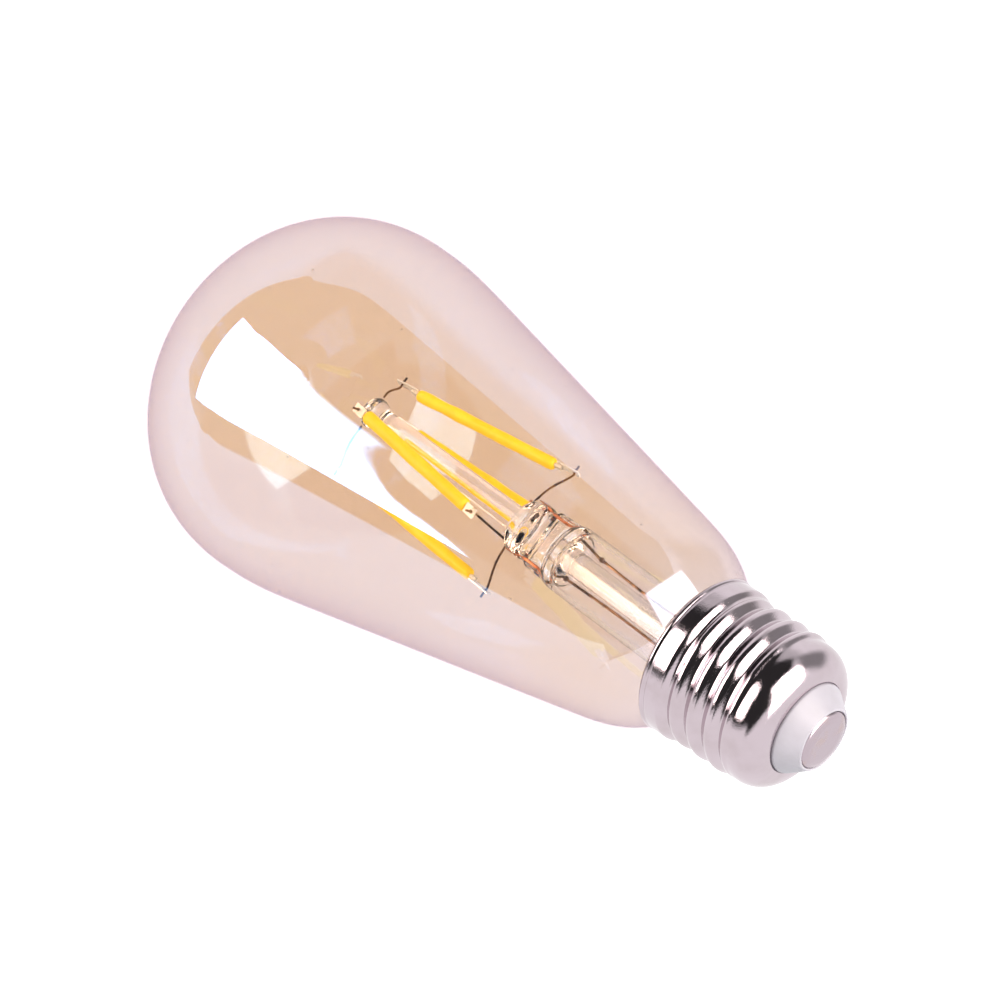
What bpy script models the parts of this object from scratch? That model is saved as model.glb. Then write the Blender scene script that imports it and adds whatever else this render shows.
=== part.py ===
"""An LED filament lamp with an amber teardrop envelope and an E27 screw cap, modelled as it hangs.

The origin is the centre of the contact's flat face and the lamp's axis is Z. Every depth below is measured
down from that face, so depth 0 is the contact and the largest depth is the tip of the envelope."""

import math

import bmesh
import bpy
from mathutils import Matrix, Vector

MM = 0.001

# Envelope: the amber glass bulb.
GLOBE_DIAMETER = 64.0 * MM
OVERALL_LENGTH = 137.0 * MM
GLASS_WALL = 0.9 * MM
WIDEST_DEPTH = 109.0 * MM
CONE_TOP_DEPTH = 40.0 * MM
CONE_TOP_RADIUS = 18.9 * MM
CONE_SLOPE = 0.207
NECK_SLOPE = 0.95
NECK_FLARE_LENGTH = 4.5 * MM
NECK_END_DEPTH = 19.0 * MM
DOME_FULLNESS = 2.12
GLOBE_ROUNDING = 0.45 * MM

# E27 screw shell.
CAP_LENGTH = 27.0 * MM
THREAD_PITCH = 3.629 * MM
THREAD_CREST_RADIUS = 13.1 * MM
THREAD_ROOT_RADIUS = 12.15 * MM
THREAD_START_DEPTH = 9.2 * MM
THREAD_END_DEPTH = 22.8 * MM
THREAD_PHASE_DEPTH = 11.0 * MM
SKIRT_RADIUS = 13.55 * MM
SHELL_WALL = 0.3 * MM
SHOULDER_DEPTH = 4.2 * MM
SHOULDER_HEIGHT = 4.6 * MM

# Insulator and contact.
INSULATOR_RADIUS = 7.9 * MM
INSULATOR_RIM = 0.3 * MM
INSULATOR_TOP_DEPTH = 0.5 * MM
FLANGE_INSET = 1.4 * MM
FLANGE_THICKNESS = 1.6 * MM
CONTACT_RADIUS = 5.05 * MM
CONTACT_EDGE_ROUND = 1.45 * MM
CONTACT_EDGE_DEPTH = 0.55 * MM
CONTACT_THICKNESS = 0.9 * MM
PIN_RADIUS = 1.1 * MM
PIN_END_DEPTH = 6.6 * MM
PIN_BORE_LENGTH = 3.2 * MM

# Glass stem, which leans a little about the cap's rim.
STEM_LEAN = math.radians(2.3)
FLARE_TUBE_RADIUS = 5.75 * MM
STEM_GLASS_WALL = 0.9 * MM
FLARE_RIM_DEPTH = 19.6 * MM
FLARE_LENGTH = 13.4 * MM
TUBE_END_TAPER = (1.6 * MM, 0.5 * MM)
PRESS_BOTTOM_DEPTH = 57.2 * MM
PRESS_INSET = 0.55 * MM
PRESS_HALF_THICKNESS = 3.0 * MM
COLLAR_BOTTOM_DEPTH = 62.6 * MM
COLLAR_TOP_DEPTH = 66.4 * MM
COLLAR_EDGE = 0.8 * MM
MELTED_EDGE = 0.5 * MM
LEAD_TO_TUBE = 1.15 * MM
LEAD_HOLE_RADIUS = 0.42 * MM
ROD_RADIUS = 2.2 * MM
ROD_TOP_RADIUS = 1.8 * MM
BUTTON_DEPTH = 101.8 * MM
BUTTON_RADIUS = 2.7 * MM
BUTTON_HALF_HEIGHT = 1.5 * MM
EXHAUST_RADIUS = 2.1 * MM
EXHAUST_WALL = 0.8 * MM
EXHAUST_TIP_DEPTH = 26.5 * MM
EXHAUST_TIP_LENGTH = 2.4 * MM

# LED filaments: (angle, radius) about the stem at the top and at the bottom of the glowing length, then the
# side of the stem whose lead feeds it (+1 left, -1 right) and the side of that lead where its wire starts.
FILAMENTS = {
    "front": ((-83, 7.9 * MM), (-75, 11.3 * MM), 1, -1),
    "right": ((170, 6.8 * MM), (159, 11.4 * MM), -1, -1),
    "back": ((98, 7.9 * MM), (102, 11.2 * MM), -1, 1),
    "left": ((3, 10.6 * MM), (15, 12.2 * MM), 1, 1),
}
FILAMENT_TOP_DEPTH = 97.6 * MM
FILAMENT_BOTTOM_DEPTH = 70.4 * MM
SLEEVE_RADIUS = 1.1 * MM
SLEEVE_BORE = 0.64 * MM
SLEEVE_END_ROUND = 0.25 * MM
SUBSTRATE_WIDTH = 1.0 * MM
SUBSTRATE_THICKNESS = 0.5 * MM
SUBSTRATE_OVERHANG = 1.3 * MM
TAB_WIDTH = 1.7 * MM
TAB_THICKNESS = 0.25 * MM
TAB_LENGTH = 4.2 * MM
SHORT_TAB_LENGTH = 2.4 * MM
TAB_HOLE_RADIUS = 0.38 * MM
TAB_HOLE_INSET = 0.9 * MM
SHORT_TABS = ("front",)

# Wires.
SUPPORT_WIRE_RADIUS = 0.2 * MM
LEAD_WIRE_RADIUS = 0.24 * MM
WIRE_OVERSHOOT = 1.3 * MM
WIRE_RUN_IN = 0.9 * MM
WIRE_SAG = 0.5 * MM
WIRE_START_DEPTH = 0.5 * MM
SEALED_LEAD_TAIL = 0.7 * MM
LEAD_CLEARANCE_AT_TIP = 3.0 * MM
LEAD_END_ABOVE_BOARD = 1.6 * MM
LEAD_BESIDE_TONGUE = 2.4 * MM
KNOT_RADIUS = 0.5 * MM
LEFT_KNOT_DEPTH = 53.8 * MM
RIGHT_KNOT_DEPTH = 50.5 * MM

# Driver in the cap.
BOARD_EDGE_GAP = 2.0 * MM
BOARD_THICKNESS = 1.0 * MM
BOARD_BOTTOM_DEPTH = 8.2 * MM
BOARD_SHOULDER_DEPTH = 18.0 * MM
TONGUE_WIDTH = 6.4 * MM
TONGUE_TOP_DEPTH = 24.6 * MM
DRIVER_SLEEVE_WALL = 0.3 * MM
SLEEVE_RISE = 0.4 * MM
CEMENT_DEPTHS = (20.4 * MM, 24.0 * MM)
CEMENT_THICKNESS = 1.0 * MM
CAPACITOR_RADIUS = 3.15 * MM
TERMINAL_RADIUS = 0.6 * MM
TERMINAL_HEIGHT = 1.0 * MM
TERMINAL_BESIDE_TONGUE = 1.9 * MM
INPUT_WIRE_STEP = 0.8 * MM

# Clearances between neighbouring pieces.
SEAT_GAP = 0.05 * MM
FIT_GAP = 0.1 * MM
LOOSE_GAP = 0.3 * MM

# Sizes that follow from what they fit to.
SHELL_BORE = THREAD_ROOT_RADIUS - SHELL_WALL
NECK_RADIUS = SHELL_BORE - CEMENT_THICKNESS - 2.5 * FIT_GAP
DRIVER_SLEEVE_RADIUS = SHELL_BORE - 2 * LEAD_WIRE_RADIUS - 2 * LOOSE_GAP - 2 * FIT_GAP
BOARD_WIDTH = 2 * (DRIVER_SLEEVE_RADIUS - DRIVER_SLEEVE_WALL - BOARD_EDGE_GAP)
CONTACT_SEAT_RADIUS = CONTACT_RADIUS + FIT_GAP
LEAD_OFFSET = FLARE_TUBE_RADIUS - STEM_GLASS_WALL - LEAD_TO_TUBE
PRESS_HALF_WIDTH = FLARE_TUBE_RADIUS - PRESS_INSET
COLLAR_RADIUS = LEAD_OFFSET + LEAD_HOLE_RADIUS + COLLAR_EDGE

CAPACITOR_PLACE = (-(CAPACITOR_RADIUS + LOOSE_GAP), 13.2 * MM)

# Components on the board: size, place as (across, depth), side of the board and material.
FRONT, BACK = -1, 1
BOARD_BLOCKS = {
    "bridge_rectifier": ((4.7 * MM, 1.6 * MM, 3.9 * MM), (-5.0 * MM, 11.2 * MM), BACK, "black_epoxy"),
    "driver_ic": ((4.9 * MM, 1.5 * MM, 3.9 * MM), (-5.0 * MM, 15.9 * MM), BACK, "black_epoxy"),
    "wireless_module": ((8.6 * MM, 2.0 * MM, 8.2 * MM), (3.2 * MM, 13.1 * MM), BACK, "shield_can"),
    "antenna": ((5.0 * MM, 0.4 * MM, 4.2 * MM), (0.0, 22.1 * MM), BACK, "copper_lead"),
}
# Round components: radius, length, axis, place, side and material.
BOARD_ROUNDS = {
    "input_capacitor": (CAPACITOR_RADIUS, 8.0 * MM, "Z", CAPACITOR_PLACE, FRONT, "capacitor_sleeve"),
    "inductor": (2.4 * MM, 3.6 * MM, "Y", (3.9 * MM, 15.0 * MM), FRONT, "ferrite"),
    "fusible_resistor": (1.2 * MM, 6.4 * MM, "X", (4.0 * MM, 10.4 * MM), FRONT, "resistor_body"),
}

# Facets round the large and the small turned pieces, and rows of facets up one turn of thread.
ROUND_STEPS = 36
SMALL_STEPS = 16
ROWS_PER_PITCH = 6

PARTS = "filament_lamp"
CUTTERS = "cutters"

MATERIALS = {
    "amber_glass": ((0.83, 0.62, 0.44), 0.05, 0.0),
    "clear_glass": ((0.90, 0.88, 0.84), 0.05, 0.0),
    "nickel_plate": ((0.72, 0.68, 0.69), 0.18, 1.0),
    "contact_metal": ((0.60, 0.55, 0.56), 0.35, 1.0),
    "white_plastic": ((0.86, 0.86, 0.88), 0.45, 0.0),
    "cement": ((0.78, 0.74, 0.64), 0.85, 0.0),
    "phosphor": ((1.00, 0.58, 0.03), 0.55, 0.0),
    "ceramic_strip": ((0.88, 0.87, 0.82), 0.40, 0.0),
    "tab_metal": ((0.80, 0.78, 0.74), 0.30, 1.0),
    "support_wire": ((0.30, 0.26, 0.24), 0.40, 1.0),
    "copper_lead": ((0.72, 0.28, 0.14), 0.35, 1.0),
    "board_laminate": ((0.04, 0.20, 0.09), 0.50, 0.0),
    "black_epoxy": ((0.03, 0.03, 0.03), 0.50, 0.0),
    "shield_can": ((0.75, 0.74, 0.72), 0.30, 1.0),
    "capacitor_sleeve": ((0.05, 0.06, 0.12), 0.40, 0.0),
    "ferrite": ((0.10, 0.09, 0.09), 0.70, 0.0),
    "resistor_body": ((0.25, 0.45, 0.55), 0.55, 0.0),
    "live_insulation": ((0.70, 0.06, 0.04), 0.45, 0.0),
    "neutral_insulation": ((0.05, 0.05, 0.05), 0.45, 0.0),
    "film_sleeve": ((0.80, 0.78, 0.66), 0.40, 0.0),
}


# ---------------------------------------------------------------- scene and materials


def clear_scene():
    for obj in list(bpy.data.objects):
        bpy.data.objects.remove(obj)


def new_collection(name):
    collection = bpy.data.collections.new(name)
    bpy.context.scene.collection.children.link(collection)
    return collection


def make_material(name):
    colour, roughness, metallic = MATERIALS[name]
    material = bpy.data.materials.new(name)
    material.use_nodes = True
    shader = material.node_tree.nodes["Principled BSDF"]
    shader.inputs["Base Color"].default_value = (*colour, 1)
    shader.inputs["Roughness"].default_value = roughness
    shader.inputs["Metallic"].default_value = metallic
    return material


def finish_piece(obj, material, parent=None):
    """Puts a new object in the lamp's collection with its material, on the empty it is measured from."""
    for collection in list(obj.users_collection):
        collection.objects.unlink(obj)
    bpy.data.collections[PARTS].objects.link(obj)
    obj.data.materials.clear()
    obj.data.materials.append(bpy.data.materials[material])
    obj.parent = parent
    return obj


# ---------------------------------------------------------------- shape tools


def add_bevel(obj, width, segments=2):
    bevel = obj.modifiers.new("bevel", "BEVEL")
    bevel.width = width
    bevel.segments = segments
    bevel.limit_method = "ANGLE"
    return bevel


def line_object(name, points, closed):
    """Vertices joined by edges in the XZ plane, from (radius, depth) pairs."""
    mesh = bpy.data.meshes.new(name)
    vertices = [(radius, 0, -depth) for radius, depth in points]
    count = len(vertices)
    edges = [(i, (i + 1) % count) for i in range(count if closed else count - 1)]
    mesh.from_pydata(vertices, edges, [])
    obj = bpy.data.objects.new(name, mesh)
    bpy.context.scene.collection.objects.link(obj)
    return obj


def turned(name, profile, material, closed=False, steps=ROUND_STEPS, parent=None):
    """A profile of (radius, depth) pairs turned once about Z. It runs down the outer side."""
    obj = line_object(name, profile, closed)
    screw = obj.modifiers.new("turn", "SCREW")
    screw.axis = "Z"
    screw.steps = steps
    screw.render_steps = steps
    screw.use_merge_vertices = True
    screw.merge_threshold = 0.000001
    screw.use_smooth_shade = True
    return finish_piece(obj, material, parent)


def apply_modifiers(obj):
    """Replaces the object's mesh with its evaluated one, for editing the vertices."""
    graph = bpy.context.evaluated_depsgraph_get()
    graph.update()
    made = bpy.data.meshes.new_from_object(obj.evaluated_get(graph))
    obj.modifiers.clear()
    obj.data = made
    return obj


def add_wall(obj, thickness):
    """Gives an open surface its wall, on the inside."""
    solidify = obj.modifiers.new("wall", "SOLIDIFY")
    solidify.thickness = thickness
    solidify.offset = -1
    solidify.use_even_offset = True
    return obj


def wire(name, points, radius, material, parent=None):
    """A round wire with filled ends through the points."""
    curve = bpy.data.curves.new(name, "CURVE")
    curve.dimensions = "3D"
    curve.bevel_depth = radius
    curve.bevel_resolution = 2
    curve.use_fill_caps = True
    spline = curve.splines.new("POLY")
    spline.points.add(len(points) - 1)
    for point, place in zip(spline.points, points):
        point.co = (*place, 1)
    obj = bpy.data.objects.new(name, curve)
    bpy.context.scene.collection.objects.link(obj)
    return finish_piece(obj, material, parent)


def smooth_path(points, per_span=4):
    """A Catmull-Rom curve through the points, as a list of points."""
    padded = [2 * points[0] - points[1], *points, 2 * points[-1] - points[-2]]
    path = []
    for a, b, c, d in zip(padded, padded[1:], padded[2:], padded[3:]):
        for step in range(per_span):
            t = step / per_span
            square = (2 * a - 5 * b + 4 * c - d) * t**2
            cube = (3 * b - a - 3 * c + d) * t**3
            path.append((2 * b + (c - a) * t + square + cube) / 2)
    path.append(points[-1])
    return path


def block(name, size, centre, material, parent=None, bevel=0.0):
    """A box of that size about its centre, with its edges rounded when bevel is given."""
    mesh = bpy.data.meshes.new(name)
    shape = bmesh.new()
    bmesh.ops.create_cube(shape, size=1)
    bmesh.ops.scale(shape, vec=size, verts=shape.verts)
    shape.to_mesh(mesh)
    shape.free()
    obj = bpy.data.objects.new(name, mesh)
    bpy.context.scene.collection.objects.link(obj)
    obj.location = centre
    if bevel:
        add_bevel(obj, bevel)
    return finish_piece(obj, material, parent)


def rod(name, radius, length, centre, material, axis="Z", parent=None, steps=SMALL_STEPS, bevel=0.0):
    """A cylinder of that length about its centre, along X, Y or Z."""
    mesh = bpy.data.meshes.new(name)
    shape = bmesh.new()
    bmesh.ops.create_cone(
        shape, cap_ends=True, segments=steps, radius1=radius, radius2=radius, depth=length
    )
    shape.to_mesh(mesh)
    shape.free()
    mesh.shade_smooth()
    mesh.set_sharp_from_angle(angle=math.radians(40))
    obj = bpy.data.objects.new(name, mesh)
    bpy.context.scene.collection.objects.link(obj)
    obj.location = centre
    turns = {"X": (0, math.pi / 2, 0), "Y": (math.pi / 2, 0, 0), "Z": (0, 0, 0)}
    obj.rotation_euler = turns[axis]
    if bevel:
        add_bevel(obj, bevel)
    return finish_piece(obj, material, parent)


def cut(obj, cutter):
    """Cuts the cutter out of the object. The cutter stays in its own hidden collection."""
    for collection in list(cutter.users_collection):
        collection.objects.unlink(cutter)
    bpy.data.collections[CUTTERS].objects.link(cutter)
    cutter.hide_render = True
    cutter.display_type = "WIRE"
    boolean = obj.modifiers.new(cutter.name, "BOOLEAN")
    boolean.operation = "DIFFERENCE"
    boolean.object = cutter
    return obj


def around(radius, degrees, depth):
    """The point at that radius, angle and depth about the Z axis."""
    angle = math.radians(degrees)
    return Vector((radius * math.cos(angle), radius * math.sin(angle), -depth))


def ease(t):
    """0 to 1 with level ends."""
    t = min(1.0, max(0.0, t))
    return t * t * (3 - 2 * t)


# ---------------------------------------------------------------- envelope


def cone_radius(depth):
    """Outer radius from the cone's top to the widest ring: straight, then rounding into the globe."""
    limit = GLOBE_DIAMETER / 2
    straight = CONE_TOP_RADIUS + CONE_SLOPE * (depth - CONE_TOP_DEPTH)
    return limit - GLOBE_ROUNDING * math.log1p(math.exp((limit - straight) / GLOBE_ROUNDING))


def neck_radius_outside(depth):
    """Outer radius from the neck's end in the cap to the top of the cone."""
    throat = SKIRT_RADIUS - SHELL_WALL - LOOSE_GAP
    if depth <= CAP_LENGTH:
        t = max(0.0, 1 - (CAP_LENGTH - depth) / NECK_FLARE_LENGTH)
        return NECK_RADIUS + (throat - NECK_RADIUS) * t * t
    # A cubic that leaves the throat steeply and meets the cone along its own slope.
    length = CONE_TOP_DEPTH - CAP_LENGTH
    t = (depth - CAP_LENGTH) / length
    start = (2 * t**3 - 3 * t**2 + 1) * throat + (t**3 - 2 * t**2 + t) * length * NECK_SLOPE
    end = (3 * t**2 - 2 * t**3) * cone_radius(CONE_TOP_DEPTH) + (t**3 - t**2) * length * CONE_SLOPE
    return start + end


def neck_profile():
    flare_start = CAP_LENGTH - NECK_FLARE_LENGTH
    depths = [NECK_END_DEPTH]
    for t in (0.0, 0.35, 0.7, 1.0):
        depths.append(flare_start + NECK_FLARE_LENGTH * t)
    for t in (0.15, 0.32, 0.52, 0.75):
        depths.append(CAP_LENGTH + (CONE_TOP_DEPTH - CAP_LENGTH) * t)
    return [(neck_radius_outside(depth), depth) for depth in depths]


def radius_along(profile, depth):
    """The radius at a depth, on the straight run between two points of a profile."""
    for (radius, start), (next_radius, end) in zip(profile, profile[1:]):
        if start <= depth <= end:
            return radius + (next_radius - radius) * (depth - start) / (end - start)
    raise ValueError(f"the profile does not reach a depth of {depth}")


def globe_profile():
    """The cone and the dome, down to the tip on the axis."""
    points = []
    cone_steps = 9
    for step in range(cone_steps):
        t = 1 - (1 - step / cone_steps) ** 1.5
        depth = CONE_TOP_DEPTH + (WIDEST_DEPTH - CONE_TOP_DEPTH) * t
        points.append((cone_radius(depth), depth))
    dome_steps = 10
    height = OVERALL_LENGTH - WIDEST_DEPTH
    for step in range(dome_steps):
        angle = math.pi / 2 * step / dome_steps
        across = math.cos(angle) ** (2 / DOME_FULLNESS)
        down = math.sin(angle) ** (2 / DOME_FULLNESS)
        points.append((GLOBE_DIAMETER / 2 * across, WIDEST_DEPTH + height * down))
    points.append((0.0, OVERALL_LENGTH))
    return points


def make_envelope():
    envelope = turned("glass_envelope", neck_profile() + globe_profile(), "amber_glass")
    return add_wall(envelope, GLASS_WALL)


# ---------------------------------------------------------------- cap


def shell_radius(depth):
    """The shell's radius without its thread: domed shoulder, straight body, skirt."""
    body = (THREAD_CREST_RADIUS + THREAD_ROOT_RADIUS) / 2
    shoulder_end = SHOULDER_DEPTH + SHOULDER_HEIGHT
    border = INSULATOR_RADIUS + FIT_GAP
    if depth < shoulder_end:
        t = (shoulder_end - depth) / SHOULDER_HEIGHT
        return border + (body - border) * math.sqrt(max(0.0, 1 - t * t))
    flare = ease((depth - THREAD_END_DEPTH + THREAD_PITCH / 3) / (THREAD_PITCH / 2))
    return body + (SKIRT_RADIUS - body) * flare


def thread_height(depth, angle):
    """How far the rolled thread stands out from the body, fading in and out over half a pitch."""
    half_height = (THREAD_CREST_RADIUS - THREAD_ROOT_RADIUS) / 2
    fade = THREAD_PITCH / 2
    window = ease((depth - THREAD_START_DEPTH) / fade) * ease((THREAD_END_DEPTH - depth) / fade)
    turn = (depth - THREAD_PHASE_DEPTH) / THREAD_PITCH + (angle - math.pi) / (2 * math.pi)
    return half_height * window * math.cos(2 * math.pi * turn)


def make_screw_shell():
    """Turned from the shoulder's edge to the skirt's rim, then pressed into the right-handed thread."""
    arc_steps = 5
    depths = []
    for step in range(arc_steps):
        depths.append(SHOULDER_DEPTH + SHOULDER_HEIGHT * (1 - math.cos(math.pi / 2 * step / arc_steps)))
    first = SHOULDER_DEPTH + SHOULDER_HEIGHT
    rows = round((THREAD_END_DEPTH - first) / THREAD_PITCH * ROWS_PER_PITCH)
    for row in range(rows + 1):
        depths.append(first + (THREAD_END_DEPTH - first) * row / rows)
    depths.append(CAP_LENGTH)
    shell = turned("screw_shell", [(shell_radius(d), d) for d in depths], "nickel_plate")
    apply_modifiers(shell)
    for vertex in shell.data.vertices:
        angle = math.atan2(vertex.co.y, vertex.co.x)
        radius = math.hypot(vertex.co.x, vertex.co.y)
        grown = 1 + thread_height(-vertex.co.z, angle) / radius
        vertex.co.x *= grown
        vertex.co.y *= grown
    return add_wall(shell, SHELL_WALL)


def make_insulator():
    """White cone between the shell's shoulder and the contact, with a flange held inside the shell."""
    hole = PIN_RADIUS + FIT_GAP
    seat = CONTACT_THICKNESS + SEAT_GAP
    under_shell = SHOULDER_DEPTH + SHELL_WALL + LOOSE_GAP
    flange_top = under_shell + 0.3 * FLANGE_THICKNESS
    flange_bottom = under_shell + FLANGE_THICKNESS
    flange = shell_radius(flange_top) - FLANGE_INSET
    profile = [
        (hole, seat),
        (CONTACT_SEAT_RADIUS, seat),
        (CONTACT_SEAT_RADIUS, INSULATOR_TOP_DEPTH),
        (CONTACT_SEAT_RADIUS + INSULATOR_RIM, INSULATOR_TOP_DEPTH),
        (INSULATOR_RADIUS, SHOULDER_DEPTH - FIT_GAP),
        (INSULATOR_RADIUS, under_shell),
        (flange, flange_top),
        (flange, flange_bottom),
        (INSULATOR_RADIUS - FLANGE_THICKNESS / 2, flange_bottom),
        (CONTACT_RADIUS - FLANGE_THICKNESS / 2, seat + FLANGE_THICKNESS),
        (hole, seat + FLANGE_THICKNESS),
    ]
    return turned("insulator", profile, "white_plastic", closed=True)


def make_contact():
    """Pressed contact: a flat face with a rounded edge, and a hollow pin through the insulator."""
    bore = LEAD_WIRE_RADIUS + LOOSE_GAP
    bore_top = PIN_END_DEPTH - PIN_BORE_LENGTH
    flat = CONTACT_RADIUS - CONTACT_EDGE_ROUND
    profile = [(0.0, 0.0), (flat, 0.0)]
    arc_steps = 4
    for step in range(1, arc_steps + 1):
        angle = math.pi / 2 * step / arc_steps
        down = CONTACT_EDGE_DEPTH * (1 - math.cos(angle))
        profile.append((flat + CONTACT_EDGE_ROUND * math.sin(angle), down))
    profile += [
        (CONTACT_RADIUS, CONTACT_THICKNESS),
        (PIN_RADIUS, CONTACT_THICKNESS),
        (PIN_RADIUS, PIN_END_DEPTH),
        (bore, PIN_END_DEPTH),
        (bore, bore_top),
        (0.0, bore_top),
    ]
    return turned("centre_contact", profile, "contact_metal")


def make_cement():
    """The ring of basing cement between the neck and the shell."""
    low, high = CEMENT_DEPTHS
    inside_thread = (THREAD_CREST_RADIUS - THREAD_ROOT_RADIUS) / 2 + SHELL_WALL + 1.5 * FIT_GAP
    steps = 4
    outer = []
    for step in range(steps + 1):
        depth = low + (high - low) * step / steps
        outer.append((shell_radius(depth) - inside_thread, depth))
    neck = neck_profile()
    corners = [depth for _, depth in neck if low < depth < high]
    inner = [(radius_along(neck, depth) + FIT_GAP, depth) for depth in (low, *corners, high)]
    return turned("basing_cement", outer + inner[::-1], "cement", closed=True)


# ---------------------------------------------------------------- stem


def make_stem_axis():
    """The empty that the stem is measured from: at the cap's rim, leaning with the stem."""
    stem = bpy.data.objects.new("stem_axis", None)
    bpy.data.collections[PARTS].objects.link(stem)
    stem.location = (0, 0, -CAP_LENGTH)
    stem.rotation_euler = (0, STEM_LEAN, 0)
    return stem


def on_stem(depth):
    """A depth below the contact, as a depth on the stem's own axis."""
    return depth - CAP_LENGTH


def make_flare_tube(stem):
    """The tube that carries the mount and opens into the seal at the neck's end."""
    rim = NECK_RADIUS - GLASS_WALL - LOOSE_GAP
    # The lean moves the rim sideways and tips it, so it is that much smaller.
    rim -= abs(on_stem(FLARE_RIM_DEPTH)) * math.tan(STEM_LEAN)
    profile = []
    for t in (0.0, 0.15, 0.35, 0.6, 0.8, 1.0):
        depth = FLARE_RIM_DEPTH + FLARE_LENGTH * t
        profile.append((rim + (FLARE_TUBE_RADIUS - rim) * (1 - (1 - t) ** 2.2), on_stem(depth)))
    top = PRESS_BOTTOM_DEPTH - SEAT_GAP
    taper_length, taper_depth = TUBE_END_TAPER
    profile.append((FLARE_TUBE_RADIUS, on_stem(top - taper_length)))
    profile.append((FLARE_TUBE_RADIUS - taper_depth, on_stem(top)))
    tube = turned("stem_flare_tube", profile, "clear_glass", steps=28, parent=stem)
    return add_wall(tube, STEM_GLASS_WALL)


def drill_leads(obj, stem):
    """Two holes through a stem glass, one on each side of the axis, for the leads."""
    centre = on_stem((PRESS_BOTTOM_DEPTH + COLLAR_TOP_DEPTH) / 2)
    length = 2 * (COLLAR_TOP_DEPTH - PRESS_BOTTOM_DEPTH)
    for side, name in ((1, "left"), (-1, "right")):
        place = (side * LEAD_OFFSET, 0, -centre)
        label = f"{obj.name}_{name}_drill"
        cut(obj, rod(label, LEAD_HOLE_RADIUS, length, place, "clear_glass", "Z", stem, 8))


def make_press(stem):
    """The flattened glass that seals round the leads."""
    top = COLLAR_BOTTOM_DEPTH - SEAT_GAP
    height = top - PRESS_BOTTOM_DEPTH
    centre = (0, 0, -on_stem(PRESS_BOTTOM_DEPTH + height / 2))
    press = rod("stem_press", PRESS_HALF_WIDTH, height, centre, "clear_glass", parent=stem, steps=24)
    for vertex in press.data.vertices:
        vertex.co.y *= PRESS_HALF_THICKNESS / PRESS_HALF_WIDTH
    add_bevel(press, MELTED_EDGE, 1)
    drill_leads(press, stem)
    return press


def make_collar(stem):
    height = COLLAR_TOP_DEPTH - COLLAR_BOTTOM_DEPTH
    centre = (0, 0, -on_stem(COLLAR_BOTTOM_DEPTH + height / 2))
    collar = rod("stem_collar", COLLAR_RADIUS, height, centre, "clear_glass", parent=stem, steps=24)
    add_bevel(collar, MELTED_EDGE, 1)
    drill_leads(collar, stem)
    return collar


def make_glass_rod(stem):
    top = BUTTON_DEPTH - BUTTON_HALF_HEIGHT - SEAT_GAP
    bottom = COLLAR_TOP_DEPTH + SEAT_GAP
    profile = [
        (0.0, on_stem(bottom)),
        (ROD_RADIUS, on_stem(bottom)),
        (ROD_TOP_RADIUS, on_stem(top)),
        (0.0, on_stem(top)),
    ]
    return turned("stem_rod", profile, "clear_glass", steps=SMALL_STEPS, parent=stem)


def make_button(stem):
    """The flattened bead at the rod's end that holds the upper wires."""
    profile = []
    steps = 8
    for step in range(steps + 1):
        angle = math.pi * step / steps
        depth = BUTTON_DEPTH - BUTTON_HALF_HEIGHT * math.cos(angle)
        profile.append((BUTTON_RADIUS * math.sin(angle) if 0 < step < steps else 0.0, on_stem(depth)))
    return turned("rod_button", profile, "clear_glass", steps=SMALL_STEPS, parent=stem)


def make_exhaust_tube(stem):
    """Open into the press and tipped off at the cap's rim."""
    top = PRESS_BOTTOM_DEPTH - SEAT_GAP
    inside = EXHAUST_RADIUS - EXHAUST_WALL
    tip_end = EXHAUST_TIP_DEPTH + EXHAUST_TIP_LENGTH
    profile = [
        (0.0, on_stem(EXHAUST_TIP_DEPTH)),
        (0.55 * EXHAUST_RADIUS, on_stem(EXHAUST_TIP_DEPTH + EXHAUST_TIP_LENGTH / 8)),
        (0.88 * EXHAUST_RADIUS, on_stem(EXHAUST_TIP_DEPTH + EXHAUST_TIP_LENGTH / 2)),
        (EXHAUST_RADIUS, on_stem(tip_end)),
        (EXHAUST_RADIUS, on_stem(top)),
        (inside, on_stem(top)),
        (inside, on_stem(tip_end)),
        (0.0, on_stem(tip_end - EXHAUST_TIP_LENGTH / 3)),
    ]
    return turned("exhaust_tube", profile, "clear_glass", steps=SMALL_STEPS, parent=stem)


# ---------------------------------------------------------------- filaments


def filament_frame(name):
    """Matrix on the stem for one filament: Z up it from the glowing part's bottom, Y outwards."""
    (top_angle, top_radius), (bottom_angle, bottom_radius) = FILAMENTS[name][:2]
    top = around(top_radius, top_angle, on_stem(FILAMENT_TOP_DEPTH))
    bottom = around(bottom_radius, bottom_angle, on_stem(FILAMENT_BOTTOM_DEPTH))
    along = (top - bottom).normalized()
    out = Vector((top.x + bottom.x, top.y + bottom.y, 0))
    out = (out - along * out.dot(along)).normalized()
    across = out.cross(along)
    frame = Matrix((across, out, along)).transposed().to_4x4()
    frame.translation = bottom
    return frame, (top - bottom).length


def put(obj, frame):
    """Moves a piece made at the filament's origin into its place on the stem."""
    obj.matrix_local = frame @ obj.matrix_basis
    return obj


def tab_length(name):
    return SHORT_TAB_LENGTH if name in SHORT_TABS else TAB_LENGTH


def tab_centre(name, length, end):
    """Distance up the filament of a tab's middle. It lies over the strip's end and runs outwards."""
    overlap = SUBSTRATE_OVERHANG - LOOSE_GAP
    reach = SUBSTRATE_OVERHANG - overlap + tab_length(name) / 2
    return length + reach if end == "top" else -reach


def hole_place(name, end):
    """The middle of a tab's hole, on the stem, and the filament's outward direction."""
    frame, length = filament_frame(name)
    away = tab_length(name) / 2 - TAB_HOLE_INSET
    up = tab_centre(name, length, end) + (away if end == "top" else -away)
    return frame @ Vector((0, tab_offset(), up)), frame.to_3x3() @ Vector((0, 1, 0))


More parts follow.
